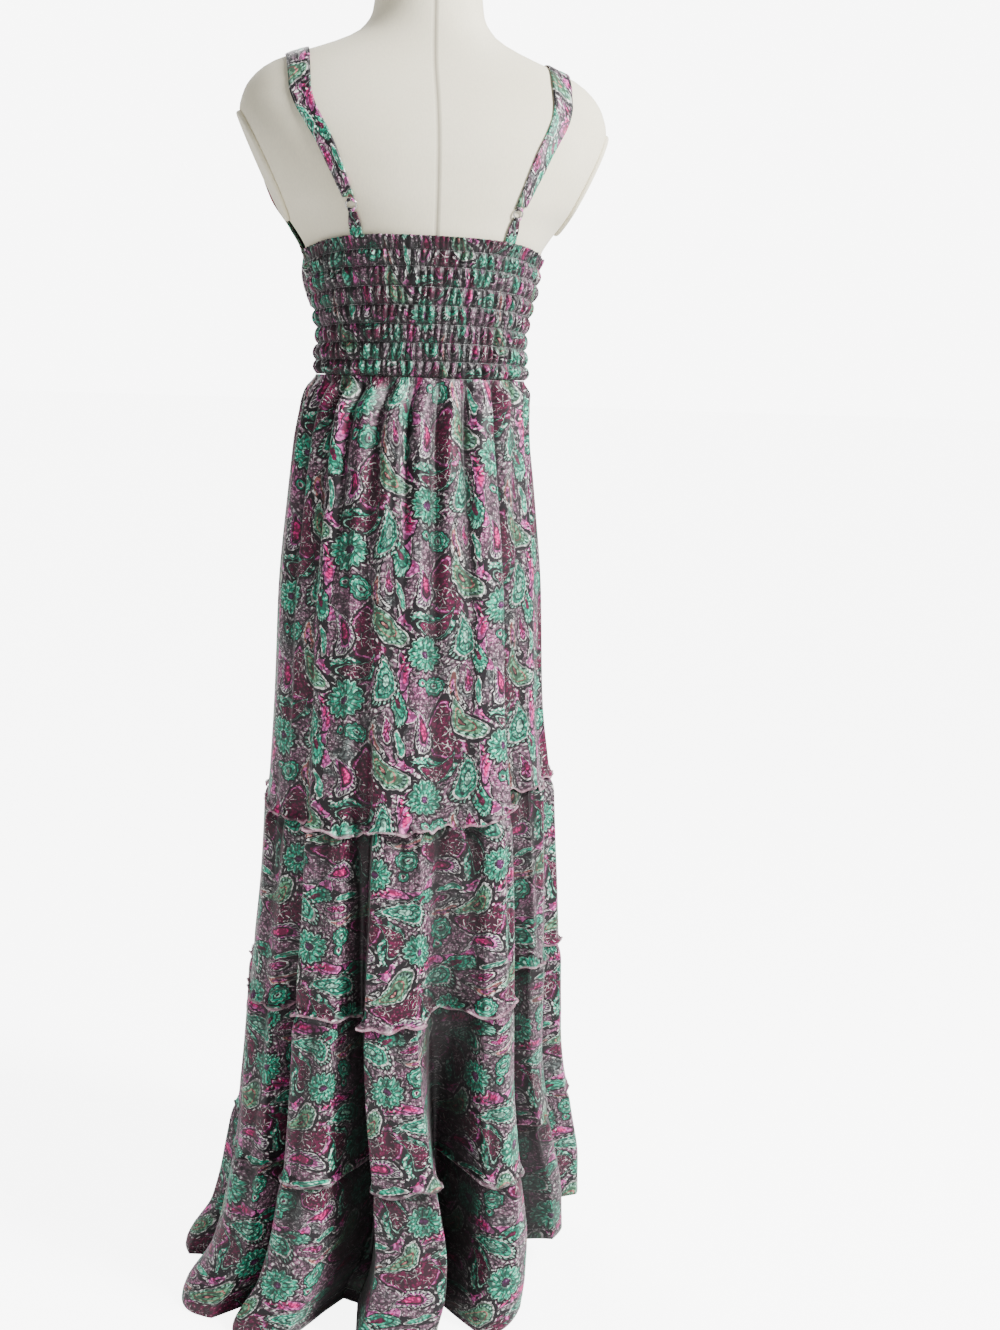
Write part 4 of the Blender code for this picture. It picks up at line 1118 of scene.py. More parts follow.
def addLip(tier, angles, tops, feet, outward, onRidge):
    # rows of points of the ruffled lip that hangs below the seam
    index = tier["index"]
    a = np.radians(angles)
    ripple = 0.5 + 0.5 * np.cos(skirt["ruffles"] * a + 2.4 * np.sin(5 * a + index) + 1.7 * np.sin(13 * a))
    waver = np.sin(23 * a + 2.0 * np.sin(7 * a + index))
    sweep = np.sin(6.3 * a + 1.9 * index + 0.6)
    atSides = 1.0 - skirt["calmAtSides"] * np.sin(a) ** 4
    length = 1.05 + skirt["lipSweep"] * sweep + skirt["lipWaver"] * waver - skirt["lipScallop"] * ripple
    length = skirt["lip"] * length
    for where, width, further in tier["lipDips"]:
        length = length + further * bump((angles + 180.0) % 360.0 - 180.0, where, width)
    rows = []
    for share in np.linspace(0.15, 1.0, skirt["lipRows"]):
        z = feet + skirt["tuck"] - (length + skirt["tuck"]) * share
        flare = skirt["leastFlare"] + tier["flare"] * (0.65 * ripple + 0.35 * (0.5 + 0.5 * waver))
        off = (flare * share ** 1.3 * (0.35 + 0.65 * onRidge) * atSides)[:, None]
        row = tierPoint(tier, angles, z, tops, feet) + outward * off
        row[:, 2] = z
        # painted highlight along the lip's edge, partly the pink of its overlock thread
        shine = tier["edgeShine"] * ease((share - 0.70) / 0.2)
        rows.append((row, np.full(len(angles), shine)))
    return rows


def makeTier(tier, front):
    index = tier["index"]
    side = "front" if front else "back"
    size = tier[side]
    start, end = skirt["leftSeam"], skirt["rightSeam"]
    if front:
        start, end = end, start + 360.0
    angles, across = evenColumns(tier, start, end, size["columns"])
    tops, feet = seamHeight(index, angles), seamHeight(index + 1, angles)
    hem = tier is fourthTier
    downTo = feet + (0.0 if hem else skirt["tuck"])
    begin = tops + (skirt["tuck"] if index else -0.0004)
    share = np.linspace(0.0, 1.0, size["rows"]) ** 1.35
    heights = begin + (downTo - begin) * share[:, None]
    grid = np.broadcast_to(angles, heights.shape)
    points = tierPoint(tier, grid, heights, tops, feet)
    outward = outwardOf(lambda a, z: tierPoint(tier, a, z, tops, feet), grid, heights)
    # painted shade in the folds, gathers and creases
    hollow = tierPaintedShade(tier, grid, heights, tops)
    if index:
        # painted shadow on the cloth just under the lip above
        hollow = hollow + 0.55 * np.exp(-(tops - heights) / 0.012)  # under the lip above
        tucked = skirt["tuckedIn"] * (1.0 - ease((tops - 0.006 - heights) / 0.022))
        points = points - outward * tucked[..., None]
    else:
        points = waistPoints(tier, points, grid, heights, tops, feet)
    lipEdge = np.zeros(hollow.shape)
    onRidge = ease(0.6 + 0.5 * foldWave(angles, feet))
    if not hem:
        for row, shine in addLip(tier, angles, tops, feet, outward[-1], onRidge):
            points = np.concatenate([points, row[None]])
            # the lip's rows carry the painted shade of the tier's last row
            hollow = np.concatenate([hollow, hollow[-1:] * 0.9])
            lipEdge = np.concatenate([lipEdge, shine[None]])
    width, length = size["cut"]
    down = lengthsAlong(points, 0)
    u, v = np.broadcast_to(across * width, down.shape) - width / 2, -down
    if tier["turnedPrint"]:
        u, v = v, -u
    flat = np.stack([u, v], -1) + np.array(tier["printShift"])
    name = tier["name"] + side.title()
    obj = clothFromGrid(name, points, flat, skirt["thickness"], hollow=hollow, lipEdge=lipEdge)
    finishPiece(obj, [tier["node"] + "_" + side])
    above = "tier_%d_%s" % (index, side)
    if index == 0:
        above = "front_midriff" if front else "bodice_back"
    middle = lengthsAlong(points[size["rows"] // 2], 0)[-1]
    share = clothArea(points) / width / length
    print(name, "area share %.2f" % share, "mid width %.3f" % middle, "length %.3f" % down[-1].mean())
    return {"name": name, "points": points, "outward": outward, "onRidge": onRidge}


skirtTiers = (firstTier, secondTier, thirdTier, fourthTier)
tierParts = {(tier["name"], front): makeTier(tier, front) for tier in skirtTiers for front in (False, True)}
print("skirt tiers made")


# the shirred back of the bodice

shirredBack = {
    "top": 1.228,
    "dip": 0.013,
    "bottom": 1.085,
    "leftSeam": -92.5,
    "rightSeam": 98.0,
    # height of each band, from the ruffled heading down to the waist
    "bands": (0.0135, 0.0165, 0.0200, 0.0185, 0.0190, 0.0190, 0.0190, 0.0165),
    "relief": 0.0068,
    "flattened": 0.16,  # share of the relief that is left at an elastic row
    "sag": 0.0016,
    "off": 0.0008,  # from the form's skin
    "puffWidth": 0.0078,
    "headingWidth": 0.0052,
    "rows": 136,
    "columns": 300,
    "flatCut": (0.520, 0.158),
    "thickness": 0.0007,
}


def backHeight(share, angle):
    top = shirredBack["top"] - shirredBack["dip"] * np.sin(np.radians(angle)) ** 4
    return top + (shirredBack["bottom"] - top) * share


def puffRows(width, total, chance):
    # uneven folds between two elastic rows: where each begins, how full it is and how it leans
    steps = width * chance.uniform(0.60, 1.45, int(total / width * 1.5) + 4)
    return np.concatenate([[-0.004], np.cumsum(steps) - 0.004]), chance.uniform(0.50, 1.0, len(steps) + 2)


def makeShirredBack():
    chance = np.random.default_rng(11)
    size = shirredBack
    angles = np.linspace(size["leftSeam"], size["rightSeam"], size["columns"] + 1)
    shares = np.linspace(0.0, 1.0, size["rows"] + 1)
    edges = np.concatenate([[0.0], np.cumsum(size["bands"])]) / sum(size["bands"])
    heights = backHeight(shares[:, None], angles[None, :])
    grid = np.broadcast_to(angles, heights.shape)
    body = formPoint(grid, heights, dressForm["clearance"] + size["off"])
    across = lengthsAlong(body[size["rows"] // 2], 0)
    relief = np.zeros(heights.shape)
    sag = np.zeros(heights.shape)
    hollow = np.zeros(heights.shape)
    lean = 0.0016 * np.sin(across * 61.0) + 0.0012 * np.sin(across * 143.0 + 1.0)
    for band in range(len(size["bands"])):
        width = size["headingWidth"] if band == 0 else size["puffWidth"]
        starts, fullness = puffRows(width, across[-1] + 0.02, chance)
        inBand = (shares >= edges[band]) & (shares <= edges[band + 1])
        t = ((shares - edges[band]) / (edges[band + 1] - edges[band]))[inBand][:, None]
        place = across[None, :] + lean[None, :] * (t - 0.5) * (-1) ** band
        number = np.clip(np.searchsorted(starts, place, side="right") - 1, 0, len(starts) - 2)
        phase = (place - starts[number]) / (starts[number + 1] - starts[number])
        fold = np.sin(np.pi * np.clip(phase, 0, 1)) ** 0.62 * fullness[number]
        pinch = np.sin(np.pi * np.clip(t, 0, 1) ** 0.88) ** 0.65
        if band == 0:
            pinch = 0.30 + 0.55 * (1.0 - ease(t / 0.9))
        relief[inBand] = size["relief"] * (size["flattened"] + (1.0 - size["flattened"]) * pinch) * fold
        # painted shade in the gaps between the puffs and along the elastic rows; the crowns of the puffs stay
        # light
        lit = np.sin(np.pi * np.clip(phase, 0, 1)) ** 0.9 * fullness[number] ** 0.4
        hollow[inBand] = 1.25 - 1.3 * (0.20 + 0.80 * pinch) * lit
        sag[inBand] = size["sag"] * pinch * (fullness[number] - 0.5) * np.sin(np.pi * t)
    edge = ease(np.minimum(across, across[-1] - across) / 0.008)
    relief *= 0.35 + 0.65 * edge
    off = dressForm["clearance"] + size["off"] + relief + waistFlare(grid, heights)
    points = formPoint(grid, heights - sag, off)
    flatWidth, flatLength = size["flatCut"]
    u = np.broadcast_to(across / across[-1] * flatWidth, heights.shape)
    v = np.broadcast_to(-shares[:, None] * flatLength, heights.shape) + 0.16
    obj = clothFromGrid("shirredBack", points, np.stack([u, v], -1), size["thickness"], hollow=hollow)
    finishPiece(obj, ["bodice_back"])
    print("shirredBack area share %.2f" % (clothArea(points) / flatWidth / flatLength))
    rows = [int(round(e * size["rows"])) for e in edges[1:]]
    return points, rows


backPoints, elasticRows = makeShirredBack()


# the front of the bodice: two gathered cups over a plain band

frontBodice = {
    "cupSeam": 1.156,
    "gap": 0.0004,
    "puff": 0.0085,
    "gathers": 0.0016,
    "creases": 0.0011,
    "puckers": 0.0007,
    "binding": 0.0008,
    "cupOff": 0.0012,
    "bandOff": 0.0014,
    # angle, height of the edge, how far the edge stands off
    "cupEdge": [
        (98.0, 1.213, 0.0040), (104.0, 1.228, 0.0040), (110.0, 1.247, 0.0050), (116.0, 1.275, 0.0060),
        (120.0, 1.298, 0.0060), (126.0, 1.322, 0.0040), (134.0, 1.338, 0.0020), (143.0, 1.345, 0.0010),
        (152.0, 1.342, 0.0010), (162.0, 1.292, 0.0020), (171.0, 1.236, 0.0030), (180.0, 1.192, 0.0030),
    ],
    "rows": 64,
    "columns": 96,
    "cupCut": (0.205, 0.195),
    "cupShape": 0.74,  # share of that rectangle left after the armhole and neckline are cut
    "bandRows": 24,
    "bandColumns": 140,
    "wrinkle": 0.0007,
    "bandCut": (0.330, 0.071),
    "thickness": 0.0009,
}


def makeCup(side):
    size = frontBodice
    seam = shirredBack["rightSeam"] if side > 0 else 360.0 + shirredBack["leftSeam"]
    angles = np.linspace(seam, 180.0, size["columns"] + 1)
    mirrored = angles if side > 0 else 360.0 - angles
    nearest = min(shirredBack["rightSeam"], -shirredBack["leftSeam"])
    first = size["cupEdge"][0][0]
    place = (mirrored - nearest) / (180.0 - nearest)
    where = first + place * (180.0 - first)
    tops = readTable(size["cupEdge"], where, 1)
    low = size["cupSeam"] + size["gap"]
    shares = np.linspace(1.0, 0.0, size["rows"] + 1)[:, None]
    heights = low + (tops - low) * shares
    joined = 0.22 + 0.78 * ease(place / 0.12)  # at the side seam the cup lies as close as the back does
    full = size["puff"] * np.sin(np.pi * np.minimum(1.0, shares * 1.15 + 0.12)) ** 0.8 * joined
    rim = readTable(size["cupEdge"], where, 2) * shares * (0.4 + 0.6 * joined)
    fans = roundFronts(place * 118.0 + 2.0 * np.sin(place * 9.0), 0.6)
    gathers = size["gathers"] * (1.0 - shares) ** 1.1 * fans
    gathers = gathers + size["creases"] * np.sin(np.pi * shares) * np.sin(place * 33.0 + 5.0 * shares + 1.5)
    puckers = size["puckers"] * bump(place, 0.03, 0.05) * np.sin(shares * 46.0 + 1.0)
    binding = size["binding"] * ease((shares - 0.955) / 0.012)
    off = dressForm["clearance"] + np.maximum(full, rim) + gathers * ease(shares / 0.02)
    off = off + puckers + binding + size["cupOff"]
    points = formPoint(np.broadcast_to(angles, heights.shape), heights, off)
    width, length = size["cupCut"]
    flat = np.stack([np.broadcast_to(place * width, heights.shape), 0.10 - lengthsAlong(points, 0)], -1)
    if side < 0:
        points, flat = points[:, ::-1], flat[:, ::-1]
    name = sideName(side) + "Cup"
    obj = clothFromGrid(name, points, flat, size["thickness"])
    finishPiece(obj, ["cup_" + sideName(side)])
    cutArea = size["cupShape"] * width * length
    print(name, "of the cut %.2f" % (clothArea(points) / cutArea))
    return points


def makeFrontBand():
    size = frontBodice
    rows, columns = size["bandRows"], size["bandColumns"]
    angles = np.linspace(shirredBack["rightSeam"], 360.0 + shirredBack["leftSeam"], columns + 1)
    share = np.linspace(0.0, 1.0, rows + 1)[:, None]
    heights = np.linspace(size["cupSeam"], shirredBack["bottom"], rows + 1)[:, None]
    heights = np.broadcast_to(heights, (rows + 1, columns + 1))
    a = np.radians(angles)
    wrinkle = np.sin(np.pi * share) * np.sin(share * 17.0 + 3.0 * np.sin(2 * a) + 4 * a) * np.cos(3 * a + 1.0)
    off = dressForm["clearance"] + size["bandOff"] + size["wrinkle"] * wrinkle + waistFlare(angles, heights)
    points = formPoint(np.broadcast_to(angles, heights.shape), heights, off)
    across = lengthsAlong(points[rows // 2], 0)
    u, v = np.broadcast_arrays(across, -share * size["bandCut"][1])
    obj = clothFromGrid("frontBand", points, np.stack([u, v], -1), size["thickness"])
    finishPiece(obj, ["front_midriff"])
    print("frontBand width %.3f" % across[-1])
    return points


cupPoints = {side: makeCup(side) for side in (1, -1)}
bandPoints = makeFrontBand()
print("bodice made")


# straps, from the cups over the shoulders to the rings, and the tabs below the rings

straps = {
    # share of the way, distance from the middle, width
    "route": [(0.00, 0.104, 0.021), (0.18, 0.122, 0.024), (0.36, 0.139, 0.024), (0.60, 0.138, 0.022),
              (0.82, 0.112, 0.018), (1.00, 0.090, 0.012)],
    "core": 1.355,
    "frontFoot": 1.3455,
    "thickness": 0.0018,
    "cloth": 0.0011,
    "ringHeight": 1.2560,
    "ringPlace": 0.0865,
    "ringRadius": 0.0055,
    "wire": 0.0009,
    "tabFoot": 0.080,
    "tabWidth": 0.012,
    "strapWidth": 0.021,
    "shoulderRadius": 0.055,  # of the turn of the guide line inside the shoulder
    "gap": 0.0004,
    "columns": 12,
    "strapRows": 140,
    "tabRows": 40,
    "loopRadius": 0.0021,
    "loopCloth": 0.0008,
    "upperLoop": 0.0078,
    "lowerLoop": 0.0072,
}


def ribbonPoints(side, x, width, core, turn, shape):
    # rows of points along a strap; shape gives the height over the skin for each place across
    count = straps["columns"] + 1
    across = np.linspace(-0.5, 0.5, count) * side
    place = np.stack(
        [side * (x[:, None] + across * width[:, None]), np.zeros((len(x), count)),
         np.broadcast_to(core[:, None], (len(x), count))], -1
    )
    direction = np.stack([np.zeros_like(turn), np.cos(turn), np.sin(turn)], -1)[:, None, :] + 0.0 * place
    skin = skinAlong(place, direction) + direction * dressForm["clearance"]
    away = np.cross(np.gradient(skin, axis=1), np.gradient(skin, axis=0))
    away /= np.linalg.norm(away, axis=-1, keepdims=True)
    centre = straps["columns"] // 2
    middle = skin[:, centre] - np.array([0.0, 0.0, straps["core"] - 0.1])
    middle[:, 0] = 0.0
    away *= np.sign((away[:, centre] * middle).sum(-1))[:, None, None]
    return skin + away * shape(np.abs(across) * 2.0)[..., None], away


def ribbonCloth(name, points, away, node, seamAt):
    flat = np.stack([lengthsAlong(points, 1) + seamAt, -lengthsAlong(points, 0)], -1)
    obj = clothFromGrid(name, points, flat, straps["cloth"])
    if np.dot(np.cross(points[1, 0] - points[0, 0], points[0, 1] - points[0, 0]), away[0, 0]) < 0:
        obj.data.flip_normals()
    finishPiece(obj, [node])


def makeStrap(side):
    size = straps
    share = np.linspace(0.0, 1.0, size["strapRows"] + 1)
    frontRun = size["core"] - size["frontFoot"]
    arc = math.pi * size["shoulderRadius"]
    backRun = size["core"] - (size["ringHeight"] + size["ringRadius"] + size["wire"] + size["gap"])
    along = share * (frontRun + arc + backRun)
    turn = np.clip((along - frontRun) / arc, 0.0, 1.0) * math.pi
    falling = size["core"] - np.maximum(along - frontRun - arc, 0.0)
    core = np.where(along < frontRun, size["frontFoot"] + along, falling)
    x, width = readTable(size["route"], share, 1), readTable(size["route"], share, 2)

    def shape(across):
        trough = 0.0003 * np.ones_like(share)
        if side < 0:
            trough = 0.0009 * ease((share - 0.42) / 0.1) * ease((0.97 - share) / 0.1)
        crease = trough[:, None] * bump(across, 0.0, 0.30)
        ripple = 0.00025 * np.sin(share * 70.0)[:, None] * np.sin(across * 5.0)
        return size["thickness"] - 0.0005 * across ** 6 - crease + ripple

    points, away = ribbonPoints(side, x, width, core, turn, shape)
    ribbonCloth(sideName(side) + "Strap", points, away, "strap_" + sideName(side), 0.02)
    return points, away


def makeTab(side):
    size = straps
    top = size["ringHeight"] - size["ringRadius"] - size["wire"] - size["gap"]
    share = np.linspace(0.0, 1.0, size["tabRows"] + 1)
    foot = shirredBack["top"] - 0.002
    x = size["ringPlace"] + (size["tabFoot"] - size["ringPlace"]) * (0.25 + 0.75 * share)
    width = size["tabWidth"] * (0.72 + 0.28 * ease(share / 0.5))
    core = top + (foot - top) * share

    def shape(across):
        folds = 0.0009 * np.abs(np.sin(share * 3.0 * math.pi))[:, None] ** 0.7 * (1.0 - 0.3 * across)
        return size["thickness"] - 0.0004 * across ** 6 + folds

    points, away = ribbonPoints(side, x, width, core, np.full_like(share, math.pi), shape)
    ribbonCloth(sideName(side) + "Tab", points, away, "strap_tab_" + sideName(side), 0.05)
    return points, away


strapPoints = {side: makeStrap(side) for side in (1, -1)}
tabPoints = {side: makeTab(side) for side in (1, -1)}


def makeRingMetal():
    material, tree, shader = newMaterial("ringMetal", Metallic=1.0)
    scuffs = noise(tree, objectPlace(tree), 700.0, 4.0)
    tint = ramp(tree, scuffs, [(0.3, fromScreen(180, 178, 172)), (0.6, fromScreen(216, 215, 210))])
    join(tree, ramp(tree, scuffs, [(0.35, 0.16), (0.7, 0.38)]), shader.inputs["Roughness"])
    join(tree, tint, shader.inputs["Base Color"])
    return material


ringMetal = makeRingMetal()


def tubeRound(centres, axisA, axisB, radius, sides):
    # a closed tube through the centres, with two axes for its section at each one
    around = np.linspace(0.0, 2 * math.pi, sides, endpoint=False)[None, :, None]
    points = centres[:, None] + radius * (np.cos(around) * axisA[:, None] + np.sin(around) * axisB[:, None])
    number = np.arange(len(centres) * sides).reshape(-1, sides)
    after, beside = np.roll(number, -1, 0), np.roll(number, -1, 1)
    faces = np.stack([number, after, np.roll(after, -1, 1), beside], -1).reshape(-1, 4)
    return points.reshape(-1, 3), faces


def makeRing(side):
    size = straps
    core = np.array([side * size["ringPlace"], 0.0, size["ringHeight"]])
    back = np.array([0.0, -1.0, 0.0])
    steps = ((0, 0, 0), (0, 0, 0.006), (0.006, 0, 0))
    place, above, beside = [skinAlong(core + np.array(step), back) for step in steps]
    away = np.cross(beside - place, above - place)
    away /= np.linalg.norm(away)
    middle = place + away * (dressForm["clearance"] + size["wire"])
    up = np.array([0.0, 0.0, 1.0]) - away * away[2]
    up /= np.linalg.norm(up)
    right = np.cross(up, away)
    around = np.linspace(0.0, 2 * math.pi, 72, endpoint=False)
    radial = np.cos(around)[:, None] * right + np.sin(around)[:, None] * up
    centres = middle + radial * size["ringRadius"]
    points, faces = tubeRound(centres, radial, np.broadcast_to(away, radial.shape), size["wire"], 14)
    obj = meshObject(sideName(side) + "Ring", points.tolist(), faces.tolist(), ringMetal)
    fixNormals(obj)
    finishPiece(obj, ["strap_ring_" + sideName(side)])
    for name, sign, width in (("UpperLoop", 1, size["upperLoop"]), ("LowerLoop", -1, size["lowerLoop"])):
        makeLoop(sideName(side) + name, sign, width, middle, up, right, away)


def makeLoop(name, sign, width, middle, up, right, away):
    # the cloth folded round the ring's wire
    size = straps
    wire = middle + up * sign * size["ringRadius"]
    turn = np.linspace(-0.80 * math.pi, 0.80 * math.pi, 25)
    across = np.linspace(-0.5, 0.5, 7) * width
    bowed = -sign * (np.abs(across) ** 2 / (2 * size["ringRadius"]))
    folded = -sign * np.cos(turn)[:, None, None] * up + np.sin(turn)[:, None, None] * away
    loop = wire + folded * size["loopRadius"] + across[None, :, None] * right + bowed[None, :, None] * up
    u, v = np.meshgrid(across, turn * size["loopRadius"])
    cloth = clothFromGrid(name, loop, np.stack([u + 0.03, v], -1), size["loopCloth"])
    normal = np.cross(loop[13, 3] - loop[12, 3], loop[12, 4] - loop[12, 3])
    if np.dot(normal, loop[12, 3] - wire) < 0:
        cloth.data.flip_normals()
    finishPiece(cloth)


def fixNormals(obj):
    bm = bmesh.new()
    bm.from_mesh(obj.data)
    bmesh.ops.recalc_face_normals(bm, faces=bm.faces)
    bm.to_mesh(obj.data)
    bm.free()


for side in (1, -1):
    makeRing(side)
print("straps and rings made")


# the dress form

backSeam = {
    "line": (0.0007, 0.0016),  # how far from the middle it is dark, and where that ends
    "dark": 0.75,
    "groove": 0.0034,
    "relief": (0.6, 0.0012),
}


def makeFormCloth():
    material, tree, shader = newMaterial(
        "creamJersey", Roughness=0.82, Sheen_Weight=0.12, Specular_IOR_Level=0.25
    )
    place = objectPlace(tree)
    creams = [(0.35, fromScreen(236, 228, 202)), (0.65, fromScreen(244, 237, 213))]
    colour = ramp(tree, noise(tree, place, 7.0, 3.0), creams)
    upright = addNode(tree, "ShaderNodeMapping", Vector=place, Scale=(1.0, 1.0, 0.35)).outputs[0]
    ribs = noise(tree, upright, 620.0)
    colour = blendColours(tree, 1.0, colour, ramp(tree, ribs, [(0.3, 0.93), (0.7, 1.0)]), "MULTIPLY")
    # the seam down the middle of the back, a thin dark line in a shallow groove
    x, y = parts(tree, place)
    behind = y < 0.0
    dark, pale = backSeam["line"]
    line = Number(tree, ramp(tree, abs(x), [(dark, 1.0), (pale, 0.0)])) * behind
    groove = Number(tree, ramp(tree, abs(x), [(0.0, 1.0), (backSeam["groove"], 0.0)])) * behind
    colour = blendColours(tree, line * backSeam["dark"], colour, fromScreen(120, 112, 98))
    join(tree, colour, shader.inputs["Base Color"])
    knit = bumpOn(tree, None, ribs, 0.25, 0.0003)
    bumpOn(tree, shader, 1.0 - groove, *backSeam["relief"], knit)
    return material


creamJersey = makeFormCloth()


def closeRings(bm, rings):
    # faces between rings of points, and one over each end
    for low, high in zip(rings, rings[1:]):
        for j in range(len(low)):
            after = (j + 1) % len(low)
            bm.faces.new((low[j], low[after], high[after], high[j]))
    bm.faces.new(rings[0][::-1])
    bm.faces.new(rings[-1])
    bmesh.ops.recalc_face_normals(bm, faces=bm.faces)


def cutShoulder(bm, side):
    # the flat cut where an arm would begin, and its outline
    size = dressForm
    lean = math.radians(size["armPlaneLean"])
    point = Vector((side * size["armPlanePoint"][0], 0.0, size["armPlanePoint"][2]))
    away = Vector((side * math.cos(lean), 0.0, -math.sin(lean)))
    shoulder = [f for f in bm.faces if min(v.co.z for v in f.verts) > size["armCutFrom"] - 0.0001]
    geometry = list({v for f in shoulder for v in f.verts}) + list({e for f in shoulder for e in f.edges})
    geometry += shoulder
    cut = bmesh.ops.bisect_plane(bm, geom=geometry, plane_co=point, plane_no=away, clear_outer=True)
    edges = [e for e in cut["geom_cut"] if isinstance(e, bmesh.types.BMEdge)]
    filled = bmesh.ops.contextual_create(bm, geom=edges)["faces"]
    return away, [v.co.copy() for v in filled[0].verts]


def makeTorso():
    bm = bmesh.new()
    known = [row[0] for row in dressForm["sections"]]
    heights = []
    for low, high in zip(known, known[1:]):
        count = max(2, int(round((high - low) / dressForm["ringStep"])))
        heights += [low + (high - low) * k / count for k in range(count)]
    heights.append(known[-1])
    columns = dressForm["columns"]
    angles = np.linspace(0.0, 360.0, columns, endpoint=False)
    closeRings(bm, [[bm.verts.new(p) for p in formPoint(angles, np.full(columns, z))] for z in heights])
    plates = {side: cutShoulder(bm, side) for side in (1, -1)}
    finishPiece(meshFrom("formTorso", bm, creamJersey, sharpFrom=35.0), ["form_torso"])
    for side, (away, outline) in plates.items():
        makeArmPlate(side, away, outline)


def makeArmPlate(side, away, outline):
    # an oval plate with a rounded rim over each arm opening
    middle = sum(outline, Vector()) / len(outline)
    bm = bmesh.new()
    rows = []
    for inset, height in dressForm["plateRim"]:
        rows.append([bm.verts.new(middle + (p - middle) * inset + away * height) for p in outline])
    closeRings(bm, rows)
    plate = meshFrom(sideName(side) + "ArmPlate", bm, creamJersey)
    finishPiece(plate, ["form_arm_plate_" + sideName(side)])


makeTorso()


# the stand under it, and the cap on the neck

def makeStandPaint():
    material, tree, shader = newMaterial("standPaint", Coat_Weight=0.2)
    place = objectPlace(tree)
    dust = noise(tree, place, 9.0, 5.0)
    whites = [(0.35, fromScreen(206, 205, 200)), (0.7, fromScreen(226, 225, 221))]
    join(tree, ramp(tree, dust, whites), shader.inputs["Base Color"])
    join(tree, ramp(tree, dust, [(0.3, 0.34), (0.7, 0.5)]), shader.inputs["Roughness"])
    bumpOn(tree, shader, noise(tree, place, 260.0), 0.15, 0.0003)
    return material


standPaint = makeStandPaint()

# profiles: radius and height
stand = {
    "base": [
        (0.0, 0.030), (0.019, 0.030), (0.0225, 0.0290), (0.024, 0.0265), (0.024, 0.0135), (0.0252, 0.0112),
        (0.0275, 0.0100), (0.1175, 0.0100), (0.1205, 0.0090), (0.122, 0.0065), (0.122, 0.0010), (0.121, 0.0),
        (0.0, 0.0),
    ],
    "socket": [
        (0.0, 0.7396), (0.0415, 0.7396), (0.042, 0.7390), (0.042, 0.7345), (0.0405, 0.7332), (0.0210, 0.7264),
        (0.0200, 0.7256), (0.0, 0.7256),
    ],
    "pole": [(0.0, 0.7252), (0.0125, 0.7252), (0.0125, 0.0304), (0.0, 0.0304)],
    # as shares of the neck's half width and half depth
    "neckCap": [
        (0.0, 1.4994), (0.90, 1.4994), (0.955, 1.4989), (0.988, 1.4975), (1.0, 1.4952), (0.996, 1.4932),
        (0.985, 1.4924), (0.0, 1.4924),
    ],
    "neckSize": (0.055, 0.0485),
}


def turnedPiece(name, profile, material, node, size=(1.0, 1.0)):
    bm = bmesh.new()
    line = [bm.verts.new((r * size[0], 0.0, z)) for r, z in profile]
    edges = [bm.edges.new(pair) for pair in zip(line, line[1:])]
    centre, upwards = (0, 0, 0), (0, 0, 1)
    bmesh.ops.spin(
        bm, geom=line + edges, cent=centre, axis=upwards, angle=2 * math.pi, steps=96, use_duplicate=False
    )
    bmesh.ops.remove_doubles(bm, verts=bm.verts, dist=0.00001)
    for v in bm.verts:
        v.co.y *= size[1] / size[0]
    bmesh.ops.recalc_face_normals(bm, faces=bm.faces)
    finishPiece(meshFrom(name, bm, material, sharpFrom=32.0), [node])


turnedPiece("standBase", stand["base"], standPaint, "form_base")
turnedPiece("standSocket", stand["socket"], standPaint, "form_socket")
turnedPiece("standPole", stand["pole"], standPaint, "form_pole")
turnedPiece("neckCap", stand["neckCap"], creamJersey, "form_neck_cap", stand["neckSize"])
print("dress form and stand made")


# sewing: overlocked edges and rows of stitches, laid along guide lines by geometry nodes

sewing = {
    "overlockPitch": 0.0014,
    "overlockHeight": 0.0011,  # half of it
    "overlockDepth": 0.0006,
    "overlockThread": 0.00026,
    "overlockLean": 0.42,
    "overlockRaise": 0.0012,  # above the lip's edge
    "stitchPitch": 0.0030,
    "elasticPitch": 0.0026,
    "stitchLength": 0.0020,
    "stitchThread": 0.00024,
    "stitchRaise": 0.0001,
}


def startTree(name, numbers):
    # stitches are placed at even steps along the guide
    tree = bpy.data.node_groups.new(name, "GeometryNodeTree")
    tree.interface.new_socket(name="Guide", in_out="INPUT", socket_type="NodeSocketGeometry")
    for title, value in numbers.items():
        socket = tree.interface.new_socket(name=title, in_out="INPUT", socket_type="NodeSocketFloat")
        socket.default_value = value
    tree.interface.new_socket(name="Thread Finish", in_out="INPUT", socket_type="NodeSocketMaterial")
    tree.interface.new_socket(name="Sewn", in_out="OUTPUT", socket_type="NodeSocketGeometry")
    given = tree.nodes.new("NodeGroupInput").outputs
    curve = addNode(tree, "GeometryNodeMeshToCurve", Mesh=given["Guide"])
    spaced = addNode(
        tree, "GeometryNodeResampleCurve", mode="LENGTH", Curve=curve.outputs[0], Length=given["Pitch"]
    )
    return tree, given, spaced.outputs[0]


def facingRotation(tree):
    # Z along the guide and X away from the cloth
    away = addNode(tree, "GeometryNodeInputNamedAttribute", data_type="FLOAT_VECTOR", Name="away").outputs[0]
    tangent = tree.nodes.new("GeometryNodeInputTangent").outputs[0]
    first = addNode(tree, "FunctionNodeAlignRotationToVector", axis="Z", Vector=tangent).outputs[0]
    kind = "FunctionNodeAlignRotationToVector"
    return addNode(tree, kind, axis="X", pivot_axis="Z", Rotation=first, Vector=away).outputs[0]


